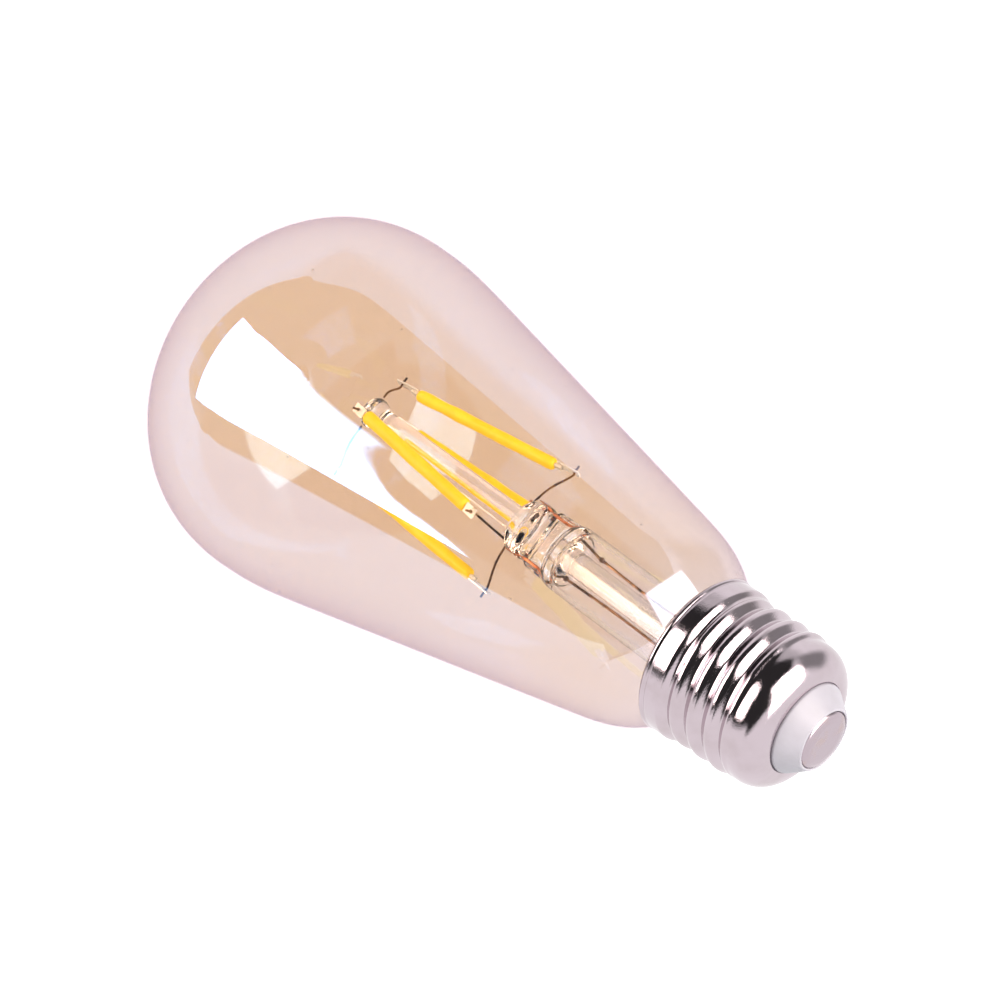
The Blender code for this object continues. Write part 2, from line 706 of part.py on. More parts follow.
def tab_offset():
    return SUBSTRATE_THICKNESS / 2 + SEAT_GAP + TAB_THICKNESS / 2


def make_filament(name, stem):
    """One LED filament: ceramic strip, phosphor sleeve over it, and a metal tab at each end."""
    frame, length = filament_frame(name)
    end_radius = SLEEVE_RADIUS - SLEEVE_END_ROUND
    sleeve_profile = [
        (SLEEVE_BORE, -length),
        (end_radius, -length),
        (SLEEVE_RADIUS, -length + SLEEVE_END_ROUND),
        (SLEEVE_RADIUS, -SLEEVE_END_ROUND),
        (end_radius, 0.0),
        (SLEEVE_BORE, 0.0),
    ]
    sleeve = turned(f"{name}_filament_phosphor", sleeve_profile, "phosphor", True, 12, stem)
    put(sleeve, frame)
    strip_size = (SUBSTRATE_WIDTH, SUBSTRATE_THICKNESS, length + 2 * SUBSTRATE_OVERHANG)
    strip = block(f"{name}_filament_strip", strip_size, (0, 0, length / 2), "ceramic_strip", stem)
    put(strip, frame)
    for end in ("top", "bottom"):
        middle = tab_centre(name, length, end)
        size = (TAB_WIDTH, TAB_THICKNESS, tab_length(name))
        tab = block(f"{name}_{end}_tab", size, (0, tab_offset(), middle), "tab_metal", stem)
        put(tab, frame)
        away = tab_length(name) / 2 - TAB_HOLE_INSET
        place = (0, tab_offset(), middle + (away if end == "top" else -away))
        label, through = f"{name}_{end}_drill", 4 * TAB_THICKNESS
        drill = rod(label, TAB_HOLE_RADIUS, through, place, "tab_metal", "Y", stem, 10)
        put(drill, frame)
        cut(tab, drill)


def route_through(start, hole, out):
    """A wire's path: sagging from its start, then square through a tab's hole and a little beyond."""
    before = hole - out * WIRE_RUN_IN
    bend = start.lerp(before, 0.5) - Vector((0, 0, WIRE_SAG))
    return smooth_path([start, bend, before, hole, hole + out * WIRE_OVERSHOOT], 3)


def make_upper_wire(name, stem):
    """From the button's side out through the hole in the filament's top tab."""
    hole, out = hole_place(name, "top")
    level = Vector((hole.x, hole.y, 0)).normalized()
    clear = BUTTON_RADIUS + SUPPORT_WIRE_RADIUS + SEAT_GAP
    start = level * clear + Vector((0, 0, -on_stem(BUTTON_DEPTH + WIRE_START_DEPTH)))
    path = route_through(start, hole, out)
    return wire(f"{name}_upper_wire", path, SUPPORT_WIRE_RADIUS, "support_wire", stem)


def make_lower_wire(name, stem):
    """From beside a lead's end at the collar out through the hole in the filament's bottom tab."""
    lead_side, beside = FILAMENTS[name][2:]
    hole, out = hole_place(name, "bottom")
    away = LEAD_WIRE_RADIUS + SUPPORT_WIRE_RADIUS + SEAT_GAP
    depth = on_stem(COLLAR_TOP_DEPTH + WIRE_START_DEPTH)
    start = Vector((lead_side * LEAD_OFFSET, beside * away, -depth))
    path = route_through(start, hole, out)
    return wire(f"{name}_lower_wire", path, SUPPORT_WIRE_RADIUS, "support_wire", stem)


# ---------------------------------------------------------------- leads


def lead_route(side):
    """Points of one outer lead on the stem, from the press down into the cap, past its weld knot."""
    knot = LEFT_KNOT_DEPTH if side > 0 else RIGHT_KNOT_DEPTH
    beside_tube = EXHAUST_RADIUS + LEAD_WIRE_RADIUS + LOOSE_GAP
    beside_tongue = TONGUE_WIDTH / 2 + 4 * LOOSE_GAP
    places = [
        (LEAD_OFFSET, PRESS_BOTTOM_DEPTH - LOOSE_GAP - SEALED_LEAD_TAIL),
        (EXHAUST_RADIUS + KNOT_RADIUS + LOOSE_GAP, knot),
        (beside_tube, 0.55 * knot + 0.45 * EXHAUST_TIP_DEPTH),
        (beside_tube + LOOSE_GAP, EXHAUST_TIP_DEPTH + LEAD_CLEARANCE_AT_TIP),
        (beside_tongue, TONGUE_TOP_DEPTH - LEAD_BESIDE_TONGUE),
        (beside_tongue, BOARD_SHOULDER_DEPTH + LEAD_END_ABOVE_BOARD),
    ]
    return [Vector((side * x, 0, -on_stem(depth))) for x, depth in places]


def make_leads(stem):
    """On each side: a lead sealed in the glass, a weld knot, and an outer lead into the cap."""
    for side, name in ((1, "left"), (-1, "right")):
        top = COLLAR_TOP_DEPTH + 2 * SEALED_LEAD_TAIL
        bottom = PRESS_BOTTOM_DEPTH - SEALED_LEAD_TAIL
        points = []
        for step in range(5):
            depth = bottom + (top - bottom) * step / 4
            points.append(Vector((side * LEAD_OFFSET, 0, -on_stem(depth))))
        wire(f"{name}_sealed_lead", points, LEAD_WIRE_RADIUS, "copper_lead", stem)
        route = lead_route(side)
        knot = route[1]
        upper = [route[0], route[0].lerp(knot, 0.5), knot + Vector((0, 0, -KNOT_RADIUS - SEAT_GAP))]
        wire(f"{name}_inner_lead", upper, LEAD_WIRE_RADIUS, "support_wire", stem)
        lower = [knot + Vector((0, 0, KNOT_RADIUS + SEAT_GAP)), *route[2:]]
        wire(f"{name}_outer_lead", smooth_path(lower, 3), LEAD_WIRE_RADIUS, "copper_lead", stem)
        make_knot(f"{name}_weld_knot", knot, stem)


def make_knot(name, centre, stem):
    """The small ball where two leads are welded end to end."""
    mesh = bpy.data.meshes.new(name)
    shape = bmesh.new()
    bmesh.ops.create_uvsphere(shape, u_segments=10, v_segments=6, radius=KNOT_RADIUS)
    shape.to_mesh(mesh)
    shape.free()
    mesh.shade_smooth()
    obj = bpy.data.objects.new(name, mesh)
    bpy.context.scene.collection.objects.link(obj)
    obj.location = centre
    return finish_piece(obj, "support_wire", stem)


# ---------------------------------------------------------------- driver


def make_board():
    """The circuit board: a wide part in the cap and a tongue up into the flare tube."""
    half, tongue = BOARD_WIDTH / 2, TONGUE_WIDTH / 2
    outline = [
        (-half, -BOARD_BOTTOM_DEPTH),
        (half, -BOARD_BOTTOM_DEPTH),
        (half, -BOARD_SHOULDER_DEPTH),
        (tongue, -BOARD_SHOULDER_DEPTH),
        (tongue, -TONGUE_TOP_DEPTH),
        (-tongue, -TONGUE_TOP_DEPTH),
        (-tongue, -BOARD_SHOULDER_DEPTH),
        (-half, -BOARD_SHOULDER_DEPTH),
    ]
    curve = bpy.data.curves.new("driver_board", "CURVE")
    curve.dimensions = "2D"
    curve.fill_mode = "BOTH"
    curve.extrude = BOARD_THICKNESS / 2
    spline = curve.splines.new("POLY")
    spline.points.add(len(outline) - 1)
    spline.use_cyclic_u = True
    for point, (x, y) in zip(spline.points, outline):
        point.co = (x, y, 0, 1)
    board = bpy.data.objects.new("driver_board", curve)
    bpy.context.scene.collection.objects.link(board)
    board.rotation_euler = (math.pi / 2, 0, 0)
    return finish_piece(board, "board_laminate")


def on_board(place, thickness, side):
    """The centre of a component of that thickness lying on the board's front or back."""
    across, depth = place
    return (across, side * (BOARD_THICKNESS / 2 + SEAT_GAP + thickness / 2), -depth)


def make_board_parts():
    """Mains components on the front of the board, control components on the back."""
    for name, (size, place, side, material) in BOARD_BLOCKS.items():
        block(name, size, on_board(place, size[1], side), material, bevel=FIT_GAP)
    for name, (radius, length, axis, place, side, material) in BOARD_ROUNDS.items():
        thickness = length if axis == "Y" else 2 * radius
        rod(name, radius, length, on_board(place, thickness, side), material, axis, bevel=LOOSE_GAP)
    for side, name in ((1, "left"), (-1, "right")):
        across = side * (TONGUE_WIDTH / 2 + TERMINAL_BESIDE_TONGUE)
        place = (across, 0, -(BOARD_SHOULDER_DEPTH + SEAT_GAP + TERMINAL_HEIGHT / 2))
        label = f"{name}_output_terminal"
        rod(label, TERMINAL_RADIUS, TERMINAL_HEIGHT, place, "tab_metal", steps=10)


def make_board_sleeve():
    """The insulating film rolled round the board inside the shell."""
    top, bottom = BOARD_BOTTOM_DEPTH - SLEEVE_RISE, NECK_END_DEPTH - LOOSE_GAP
    outer, inner = DRIVER_SLEEVE_RADIUS, DRIVER_SLEEVE_RADIUS - DRIVER_SLEEVE_WALL
    profile = [(outer, top), (outer, bottom), (inner, bottom), (inner, top)]
    return turned("driver_sleeve", profile, "film_sleeve", closed=True)


def make_input_wires():
    """The live wire into the contact's pin, and the neutral wire out to the shell's wall."""
    front = -(BOARD_THICKNESS / 2 + LEAD_WIRE_RADIUS + FIT_GAP)
    live = [
        Vector((0, 0, -(PIN_END_DEPTH - 3 * INPUT_WIRE_STEP))),
        Vector((0, 0, -PIN_END_DEPTH)),
        Vector((0, front / 2, -(PIN_END_DEPTH + INPUT_WIRE_STEP))),
        Vector((0, front, -(BOARD_BOTTOM_DEPTH + INPUT_WIRE_STEP / 2))),
        Vector((0, front, -(BOARD_BOTTOM_DEPTH + 2 * INPUT_WIRE_STEP))),
    ]
    wire("live_wire", live, LEAD_WIRE_RADIUS, "live_insulation")
    wall = SHELL_BORE - LEAD_WIRE_RADIUS - LOOSE_GAP
    under = BOARD_BOTTOM_DEPTH - SLEEVE_RISE - LEAD_WIRE_RADIUS - LOOSE_GAP
    neutral = [
        Vector((BOARD_WIDTH / 2 - INPUT_WIRE_STEP, 0, -under)),
        Vector((wall - 2 * LOOSE_GAP, 0, -under)),
        Vector((wall, 0, -(under + 3 * LOOSE_GAP))),
        Vector((wall, 0, -(CEMENT_DEPTHS[0] - LOOSE_GAP - LEAD_WIRE_RADIUS))),
    ]
    wire("neutral_wire", neutral, LEAD_WIRE_RADIUS, "neutral_insulation")


# ---------------------------------------------------------------- the lamp


def main():
    clear_scene()
    new_collection(PARTS)
    new_collection(CUTTERS)
    for name in MATERIALS:
        make_material(name)
    make_envelope()
    make_screw_shell()
    make_insulator()
    make_contact()
    make_cement()
    stem = make_stem_axis()
    make_flare_tube(stem)
    make_press(stem)
    make_collar(stem)
    make_glass_rod(stem)
    make_button(stem)
    make_exhaust_tube(stem)
    for name in FILAMENTS:
        make_filament(name, stem)
        make_upper_wire(name, stem)
        make_lower_wire(name, stem)
    make_leads(stem)
    make_board()
    make_board_parts()
    make_board_sleeve()
    make_input_wires()


main()
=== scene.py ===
# %% [markdown]
# # An LED filament lamp with an amber glass bulb
#
# This lesson finishes a lamp that is already drawn as exact parts. The parts come in as a fixed frame:
# every piece that is made below is measured from it, and none of it is moved. The lamp hangs with its
# screw cap up, its axis is Z, and the origin is the middle of the centre contact, so a depth below is
# always minus Z.

# %% Load the frame
import math

import bmesh
import bpy
import numpy as np
from mathutils import Matrix, Vector


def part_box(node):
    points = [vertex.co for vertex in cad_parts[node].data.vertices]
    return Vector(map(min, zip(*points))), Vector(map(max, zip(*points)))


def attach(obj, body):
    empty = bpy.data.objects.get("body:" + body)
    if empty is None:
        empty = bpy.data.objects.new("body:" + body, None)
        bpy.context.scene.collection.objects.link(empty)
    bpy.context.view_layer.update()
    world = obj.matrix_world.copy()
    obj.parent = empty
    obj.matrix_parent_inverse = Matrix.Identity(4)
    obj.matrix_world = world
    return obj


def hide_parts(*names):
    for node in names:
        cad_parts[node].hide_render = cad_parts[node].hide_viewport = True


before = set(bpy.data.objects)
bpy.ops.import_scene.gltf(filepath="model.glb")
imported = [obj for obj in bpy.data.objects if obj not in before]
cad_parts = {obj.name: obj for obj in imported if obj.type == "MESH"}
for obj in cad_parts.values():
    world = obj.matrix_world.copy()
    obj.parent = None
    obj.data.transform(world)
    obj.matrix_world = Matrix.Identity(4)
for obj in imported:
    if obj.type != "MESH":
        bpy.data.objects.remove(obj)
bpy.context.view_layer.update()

MM = 0.001
print("parts in the frame:", len(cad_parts))

# %% [markdown]
# ## Places that are read from the frame
#
# A node gives two kinds of measure. Its box gives its lowest and highest corner. Its points give the
# direction that it runs in, which a box can't show for something that leans. The direction in which
# points spread most is found with a singular value decomposition, a standard way to fit a line and a
# plane to a cloud of points.

# %% Measure boxes and directions
def middle(node):
    low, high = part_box(node)
    return (Vector(low) + Vector(high)) / 2


def own_axes(node):
    """A node's middle, its long, wide and thin directions, and how far it reaches along each."""
    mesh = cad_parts[node].data
    points = np.array([vertex.co[:] for vertex in mesh.vertices])
    centre = (points.min(axis=0) + points.max(axis=0)) / 2
    directions = np.linalg.svd(points - points.mean(axis=0), full_matrices=False)[2]
    along = (points - centre) @ directions.T
    reach = along.max(axis=0) - along.min(axis=0)
    centre = centre + directions.T @ ((along.max(axis=0) + along.min(axis=0)) / 2)
    return Vector(centre), [Vector(row) for row in directions], [float(r) for r in reach]


def depth_range(node):
    low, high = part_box(node)
    return -high[2], -low[2]


cap_end = depth_range("screw_shell")[1]
print("the cap ends at a depth of", round(cap_end / MM, 2), "mm")

# %% [markdown]
# The glass stem leans a little, as hand-made stems do. Its axis runs through the middle of the bead at
# its tip and the middle of its collar, so those two nodes give the lean. Everything on the stem is then
# drawn upright, with the cap's rim as zero, and turned into place by one matrix.

# %% Find the stem's axis
def stem_matrix():
    tip, collar = middle("rod_button"), middle("stem_collar")
    up = (collar - tip).normalized()
    across = Vector((0, 1, 0)).cross(up).normalized()
    turn = Matrix((across, up.cross(across), up)).transposed().to_4x4()
    start = collar + up * ((-cap_end - collar.z) / up.z)
    return Matrix.Translation(start) @ turn


STEM = stem_matrix()
print("the stem leans", round(math.degrees(STEM.to_3x3().col[2].angle(Vector((0, 0, 1)))), 2), "degrees")

# %% [markdown]
# ## Shader sums
#
# A finish is a network of nodes, and most of it is arithmetic. Written by hand that is many lines of
# sockets and links. Here one small class wraps a socket, so a sum such as `1 - grain * 0.2` adds the Math
# nodes itself. Only values go through it: colours and vectors have their own mixing nodes.

# %% A socket that can be used in a sum
class Value:
    def __init__(self, tree, socket):
        self.tree = tree
        self.socket = socket

    def sum(self, operation, *others, turned=False):
        terms = [self, *others]
        if turned:
            terms.reverse()
        sockets = dict(enumerate(terms))
        return self.tree.node("ShaderNodeMath", {"operation": operation}, sockets).value()

    def __add__(self, other):
        return self.sum("ADD", other)

    def __sub__(self, other):
        return self.sum("SUBTRACT", other)

    def __rsub__(self, other):
        return self.sum("SUBTRACT", other, turned=True)

    def __mul__(self, other):
        return self.sum("MULTIPLY", other)

    def __truediv__(self, other):
        return self.sum("DIVIDE", other)

    def __pow__(self, other):
        return self.sum("POWER", other)

    __radd__ = __add__
    __rmul__ = __mul__

    def lower(self, other):
        return self.sum("MINIMUM", other)

    def between(self, low, high):
        """0 at low, 1 at high, and clamped beyond them."""
        settings = {"clamp": True, "interpolation_type": "SMOOTHSTEP"}
        return self.tree.node("ShaderNodeMapRange", settings, {0: self, 1: low, 2: high}).value()


# %% [markdown]
# Every other node comes from one method. It sets the node's own options first, because they can change
# which sockets it has, and then gives each socket a number, a colour or a link.

# %% A node network with one way to add a node
class Step:
    """One node of a tree, which hands out its outputs."""

    def __init__(self, tree, node):
        self.tree = tree
        self.made = node

    def value(self, name=0):
        return Value(self.tree, self.made.outputs[name])


class Tree:
    def __init__(self, owner):
        owner.use_nodes = True
        self.nodes = owner.node_tree.nodes
        self.links = owner.node_tree.links
        self.nodes.clear()

    def node(self, kind, settings=None, sockets=None):
        made = self.nodes.new(kind)
        for option, choice in (settings or {}).items():
            setattr(made, option, choice)
        for name, given in (sockets or {}).items():
            if isinstance(given, Value):
                self.links.new(given.socket, made.inputs[name])
            else:
                made.inputs[name].default_value = given
        return Step(self, made)


# %% [markdown]
# Four patterns cover nearly every surface of the lamp: a soft cloud for colour and roughness that drift,
# fine grain for a bump, rare specks for dust and scuffs, and a place along an axis. Patterns read Object
# coordinates. The parts are in metres, so a scale of 1000 makes features about a millimetre across.

# %% Patterns that finishes share
def place_on(tree):
    return tree.node("ShaderNodeTexCoord").value("Object")


def cloud(tree, scale, detail=2.0, stretch=(1, 1, 1)):
    """A soft random pattern from 0 to 1. Stretch slows it down along an axis."""
    at = tree.node("ShaderNodeMapping", {}, {"Vector": place_on(tree), "Scale": stretch}).value()
    sockets = {"Vector": at, "Scale": scale, "Detail": detail, "Roughness": 0.55}
    return tree.node("ShaderNodeTexNoise", {}, sockets).value("Fac")


def specks(tree, scale, size, share):
    """Small round spots, one in some of the cells of a grid of that scale."""
    sockets = {"Vector": place_on(tree), "Scale": scale, "Randomness": 1.0}
    cells = tree.node("ShaderNodeTexVoronoi", {}, sockets)
    spot = 1 - cells.value("Distance").between(size * 0.5, size)
    chosen = tree.node("ShaderNodeSeparateColor", {}, {0: cells.value("Color")}).value(0)
    return spot * chosen.between(1 - share, 1 - share + 0.02)


def blend(tree, share, first, second):
    """A colour between two others."""
    sockets = {"Factor": share, "A": first, "B": second}
    made = tree.node("ShaderNodeMix", {"data_type": "RGBA"})
    for name, given in sockets.items():
        socket = [s for s in made.made.inputs if s.name == name and s.enabled][0]
        if isinstance(given, Value):
            tree.links.new(given.socket, socket)
        else:
            socket.default_value = given if name == "Factor" else (*given, 1)
    return Value(tree, [s for s in made.made.outputs if s.enabled][0])


def bump(tree, height, distance, strength=1.0):
    sockets = {"Height": height, "Distance": distance, "Strength": strength}
    return tree.node("ShaderNodeBump", {}, sockets).value("Normal")


# %% [markdown]
# A finish is a named material with one output. Its plain form is a single Principled shader. Layered
# finishes lay one shader over another by a share, and clear glass starts from light that goes straight
# through a tint.

# %% Make a finish
FINISHES = {}


def new_finish(name):
    FINISHES[name] = bpy.data.materials.new(name)
    return Tree(FINISHES[name])


def show_surface(tree, shader):
    tree.node("ShaderNodeOutputMaterial", {}, {"Surface": shader})


def principled(tree, sockets):
    colour = sockets.get("Base Color")
    if isinstance(colour, tuple) and len(colour) == 3:
        sockets = {**sockets, "Base Color": (*colour, 1)}
    return tree.node("ShaderNodeBsdfPrincipled", {}, sockets).value()


def clear_tint(tree, colour):
    return tree.node("ShaderNodeBsdfTransparent", {}, {"Color": (*colour, 1)}).value()


def layered(tree, share, under, over):
    return tree.node("ShaderNodeMixShader", {}, {0: share, 1: under, 2: over}).value()


# %% [markdown]
# ## The studio
#
# Clear glass and plated metal have hardly any colour of their own. They show the room. The lamp therefore
# stands in a white surround with one dark opening, through which it is looked at, and two bright panels
# in that opening. The dark opening lets the amber coat show its colour, and the panels make the white
# window shapes that tell the eye that the bulb is glossy. A camera on its stand hides a corner of the
# lower panel. The surround is the World, because it has to fill every direction.

# %% Directions in the room
def direction(azimuth, elevation):
    """A unit vector. Azimuth 0 is towards the front of the lamp, and grows towards +X."""
    a, e = math.radians(azimuth), math.radians(elevation)
    return Vector((math.sin(a) * math.cos(e), -math.cos(a) * math.cos(e), math.sin(e)))


def panel(sky, looking, azimuth, elevation, sides, ends, turn=0.0, soft=0.03):
    """1 inside a flat rectangle, 0 outside. Its edges are tangents of angles from the direction given."""
    out = direction(azimuth, elevation)
    right = Vector((-out.y, out.x, 0)).normalized()
    down = right.cross(out)
    roll = math.radians(turn)
    across = right * math.cos(roll) + down * math.sin(roll)
    along = down * math.cos(roll) - right * math.sin(roll)

    def share(axis):
        sockets = {0: looking, 1: tuple(axis)}
        return sky.node("ShaderNodeVectorMath", {"operation": "DOT_PRODUCT"}, sockets).value("Value")

    ahead = share(out)
    (left, right_side), (top, bottom) = sides, ends
    x, y = share(across) / ahead, share(along) / ahead
    inside = (right_side - x).lower(x - left).lower(bottom - y).lower(y - top)
    return inside.between(0, soft) * ahead.between(0, 0.01)


# %% [markdown]
# Three smaller things shape the reflections. A white card stands inside the opening at the right and cuts
# the dark reflection off on that side. A dark flag at the left, with soft edges, gives the plated cap its
# second dark streak. A corner of the room near it gets less light. The panels are a little warmer than
# the room.
#
# The backdrop behind the lamp is lit more strongly than the sides, as it is in a studio, so that it stays
# white when it is seen through the glass. Light that has passed through the stem's clear glass meets a
# room that is brighter still and slightly cool, which keeps the stem pale inside an amber bulb.

# %% Fill the room with light
ROOM_WHITE, BACKDROP, PANEL_LIGHT, STEM_LIGHT, OPENING_DARK = 1.2, 1.95, 8.5, 2.1, 0.04
PANEL_COLOUR, STEM_COLOUR, WHITE = (1.0, 0.91, 0.86), (0.97, 1.0, 1.1), (1.0, 1.0, 1.0)
FLAG_SHADE, CORNER_SHADE = 0.72, 0.4

world = bpy.data.worlds.new("studio_room")
bpy.context.scene.world = world
sky = Tree(world)
looking = sky.node("ShaderNodeTexCoord").value("Generated")
opening = panel(sky, looking, -2, -6, (-2.2, 1.72), (-1.9, 1.39), turn=29.7, soft=0.05)
white_card = panel(sky, looking, 74, -12, (-0.40, 0.8), (-0.7, 0.34), turn=-20, soft=0.04)
low_panel = panel(sky, looking, 15, -27, (-0.41, 0.42), (-0.320, 0.43), soft=0.006)
camera_stand = panel(sky, looking, -5, -8, (-0.22, 0.13), (-0.22, 0.08), turn=-19, soft=0.03)
high_panel = panel(sky, looking, -40, 50, (-0.62, 0.36), (-0.75, 0.48), soft=0.07)
flag = panel(sky, looking, -103, 18, (-0.60, 0.70), (-0.62, 0.50), soft=0.35)
dim_corner = panel(sky, looking, -66, -12, (-0.55, 0.55), (-0.5, 0.6), soft=0.35)
panels = (low_panel * (1 - camera_stand)).sum("MAXIMUM", high_panel)
dimmed = (1 - opening * (1 - white_card)) * (1 - flag * FLAG_SHADE) * (1 - dim_corner * CORNER_SHADE)
surround = dimmed * (ROOM_WHITE - OPENING_DARK) + OPENING_DARK
path = sky.node("ShaderNodeLightPath")
through_stem = path.value("Is Transmission Ray")
stem_boost = through_stem * (STEM_LIGHT / ROOM_WHITE - 1) + 1
brightness = (surround + panels * (PANEL_LIGHT - OPENING_DARK)) * stem_boost
colour = blend(sky, through_stem, blend(sky, panels.lower(1.0), WHITE, PANEL_COLOUR), STEM_COLOUR)
room = sky.node("ShaderNodeBackground", {}, {"Color": colour, "Strength": brightness}).value()
backdrop = sky.node("ShaderNodeBackground", {}, {"Color": (*WHITE, 1), "Strength": BACKDROP}).value()
both = layered(sky, path.value("Is Camera Ray"), room, backdrop)
sky.node("ShaderNodeOutputWorld", {}, {"Surface": both})
print("room white", ROOM_WHITE, "and panels", PANEL_LIGHT)

# %% [markdown]
# The floor is a wide pale sheet under the lamp, as bright as the backdrop, so the two meet without a
# line. Only the camera sees it: a floor in the reflections would hide the lower panel from the glass.

# %% Lay the floor
def lay_floor(depth, reach):
    mesh = bpy.data.meshes.new("floor")
    square = ((-1, -1), (1, -1), (1, 1), (-1, 1))
    corners = [(x * reach, y * reach, -depth) for x, y in square]
    mesh.from_pydata(corners, [], [(0, 1, 2, 3)])
    floor = bpy.data.objects.new("floor", mesh)
    bpy.context.scene.collection.objects.link(floor)
    paper = new_finish("floor_paper")
    glow = {"Color": (*WHITE, 1), "Strength": BACKDROP}
    show_surface(paper, paper.node("ShaderNodeEmission", {}, glow).value())
    mesh.materials.append(FINISHES["floor_paper"])
    for ray in ("diffuse", "glossy", "transmission", "shadow", "volume_scatter"):
        setattr(floor, f"visible_{ray}", False)
    return floor


lay_floor(depth=0.30, reach=40.0)

# %% [markdown]
# ## The camera
#
# The lamp is seen from its front and above, and the camera is rolled so that the lamp lies across the
# frame with its cap at the lower right. A long lens keeps the bulb's outline close to its true shape.

# %% Set the camera
def set_camera(place, target, up, lens):
    camera = bpy.data.objects.new("camera", bpy.data.cameras.new("camera"))
    bpy.context.scene.collection.objects.link(camera)
    back = (Vector(place) - Vector(target)).normalized()
    right = Vector(up).cross(back).normalized()
    turn = Matrix((right, back.cross(right), back)).transposed().to_4x4()
    camera.matrix_world = Matrix.Translation(Vector(place)) @ turn
    camera.data.lens = lens
    camera.data.sensor_width = 36.0
    camera.data.clip_start = 0.01
    camera.data.clip_end = 200.0
    bpy.context.scene.camera = camera
    return camera


set_camera((0, -0.633, 0.3053), (-0.0027, 0, -0.0724), (-0.8273, -0.2903, -0.4808), 164.55)
bpy.context.scene.view_settings.view_transform = "Standard"
bpy.context.scene.cycles.transparent_max_bounces = 24

# %% [markdown]
# ## Turning
#
# The bulb, the cap and the stem are all made by turning in real life: glass in a mould that spins, metal
# drawn and rolled, glass tube in a flame. Blender has a Screw modifier for this. Here the rings are
# written out, so that each point can still be moved after it is placed, which the thread and the
# flattened press need.

# %% Turn an outline into a piece
def add_piece(name, mesh, finish, replaced):
    piece = bpy.data.objects.new(name, mesh)
    bpy.context.scene.collection.objects.link(piece)
    mesh.materials.clear()
    mesh.materials.append(FINISHES[finish])
    mesh.shade_smooth()
    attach(piece, "root")
    if replaced:
        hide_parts(*replaced)
    return piece


def turned_mesh(name, outline, steps, closed=False, move=None, matrix=None, inside_out=False):
    """Rings from (radius, depth) pairs. move takes radius, depth, angle and the pair's number to a point."""
    points, rings, faces = [], [], []
    for number, (radius, depth) in enumerate(outline):
        count = 1 if radius < 1e-7 else steps
        rings.append([len(points) + step for step in range(count)])
        for step in range(count):
            angle = 2 * math.pi * step / steps
            if move:
                points.append(move(radius, depth, angle, number))
            else:
                points.append((radius * math.cos(angle), radius * math.sin(angle), -depth))
    pairs = list(zip(rings, rings[1:]))
    if closed:
        pairs.append((rings[-1], rings[0]))
    for first, second in pairs:
        for step in range(steps):
            after = (step + 1) % steps
            corners = [first[step % len(first)], second[step % len(second)]]
            corners += [second[after % len(second)], first[after % len(first)]]
            corners = list(dict.fromkeys(corners))
            if inside_out:
                corners.reverse()
            faces.append(corners)
    mesh = bpy.data.meshes.new(name)
    mesh.from_pydata(points, [], faces)
    if matrix is not None:
        mesh.transform(matrix)
    mesh.update()
    return mesh


# %% [markdown]
# Outlines are easier to write with few corners. Glass and rolled metal have none, so an outline is walked
# in short even steps and then eased a few times, which rounds each corner as heat and tools do.

# %% Walk and soften an outline
def walk(outline, pace):
    """The same line with a point about every pace."""
    points = [Vector(pair) for pair in outline]
    walked = []
    for start, end in zip(points, points[1:]):
        count = max(1, round((end - start).length / pace))
        walked += [start.lerp(end, step / count) for step in range(count)]
    return [*walked, points[-1]]


def softened(outline, pace, passes):
    points = walk(outline, pace)
    for _ in range(passes):
        eased = [(a + 2 * b + c) / 4 for a, b, c in zip(points, points[1:], points[2:])]
        points = [points[0], *eased, points[-1]]
    return [(max(0.0, point.x), point.y) for point in points]


def ease(t):
    t = min(1.0, max(0.0, t))
    return t * t * (3 - 2 * t)


# %% [markdown]
# ## The bulb's glass
#
# The bulb is one blown wall of soda glass, nine tenths of a millimetre thick. Its outline has three
# parts: a neck that flares out of the cap, a straight cone, and a dome that is slightly fuller than half
# a ball. Both faces of the wall are modelled, because each mirrors the room, and the pair of them gives
# the doubled edges of real reflections. Glass bends light, so from outside the inner face seems to lie
# almost on the outer one. The wall here lets light pass straight, so its faces are set as close together
# as they look.

# %% The bulb's outline
WALL_AS_SEEN = 0.25 * MM
neck_start, tip_depth = depth_range("glass_envelope")
globe_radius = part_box("glass_envelope")[1][0]
WIDEST, CONE_TOP, CONE_TOP_RADIUS, CONE_SLOPE = 109 * MM, 40 * MM, 18.9 * MM, 0.207
NECK_RADIUS, THROAT, NECK_FLARE, NECK_SLOPE = 10.6 * MM, 12.95 * MM, 4.5 * MM, 0.95
DOME_FULLNESS, GLOBE_ROUNDING = 2.12, 0.45 * MM


def cone_radius(depth):
    straight = CONE_TOP_RADIUS + CONE_SLOPE * (depth - CONE_TOP)
    return globe_radius - GLOBE_ROUNDING * math.log1p(math.exp((globe_radius - straight) / GLOBE_ROUNDING))


def bulb_radius(depth):
    if depth <= cap_end:
        t = max(0.0, 1 - (cap_end - depth) / NECK_FLARE)
        return NECK_RADIUS + (THROAT - NECK_RADIUS) * t * t
    if depth < CONE_TOP:
        length = CONE_TOP - cap_end
        t = (depth - cap_end) / length
        start = (2 * t**3 - 3 * t**2 + 1) * THROAT + (t**3 - 2 * t**2 + t) * length * NECK_SLOPE
        end = (3 * t**2 - 2 * t**3) * cone_radius(CONE_TOP) + (t**3 - t**2) * length * CONE_SLOPE
        return start + end
    return cone_radius(depth)


def bulb_outline():
    rows = 110
    outline = []
    for row in range(rows):
        depth = neck_start + (WIDEST - neck_start) * row / rows
        outline.append((bulb_radius(depth), depth))
    dome_rows = 64
    for row in range(dome_rows):
        angle = math.pi / 2 * row / dome_rows
        across = math.cos(angle) ** (2 / DOME_FULLNESS)
        down = math.sin(angle) ** (2 / DOME_FULLNESS)
        outline.append((globe_radius * across, WIDEST + (tip_depth - WIDEST) * down))
    return [*outline, (0.0, tip_depth)]


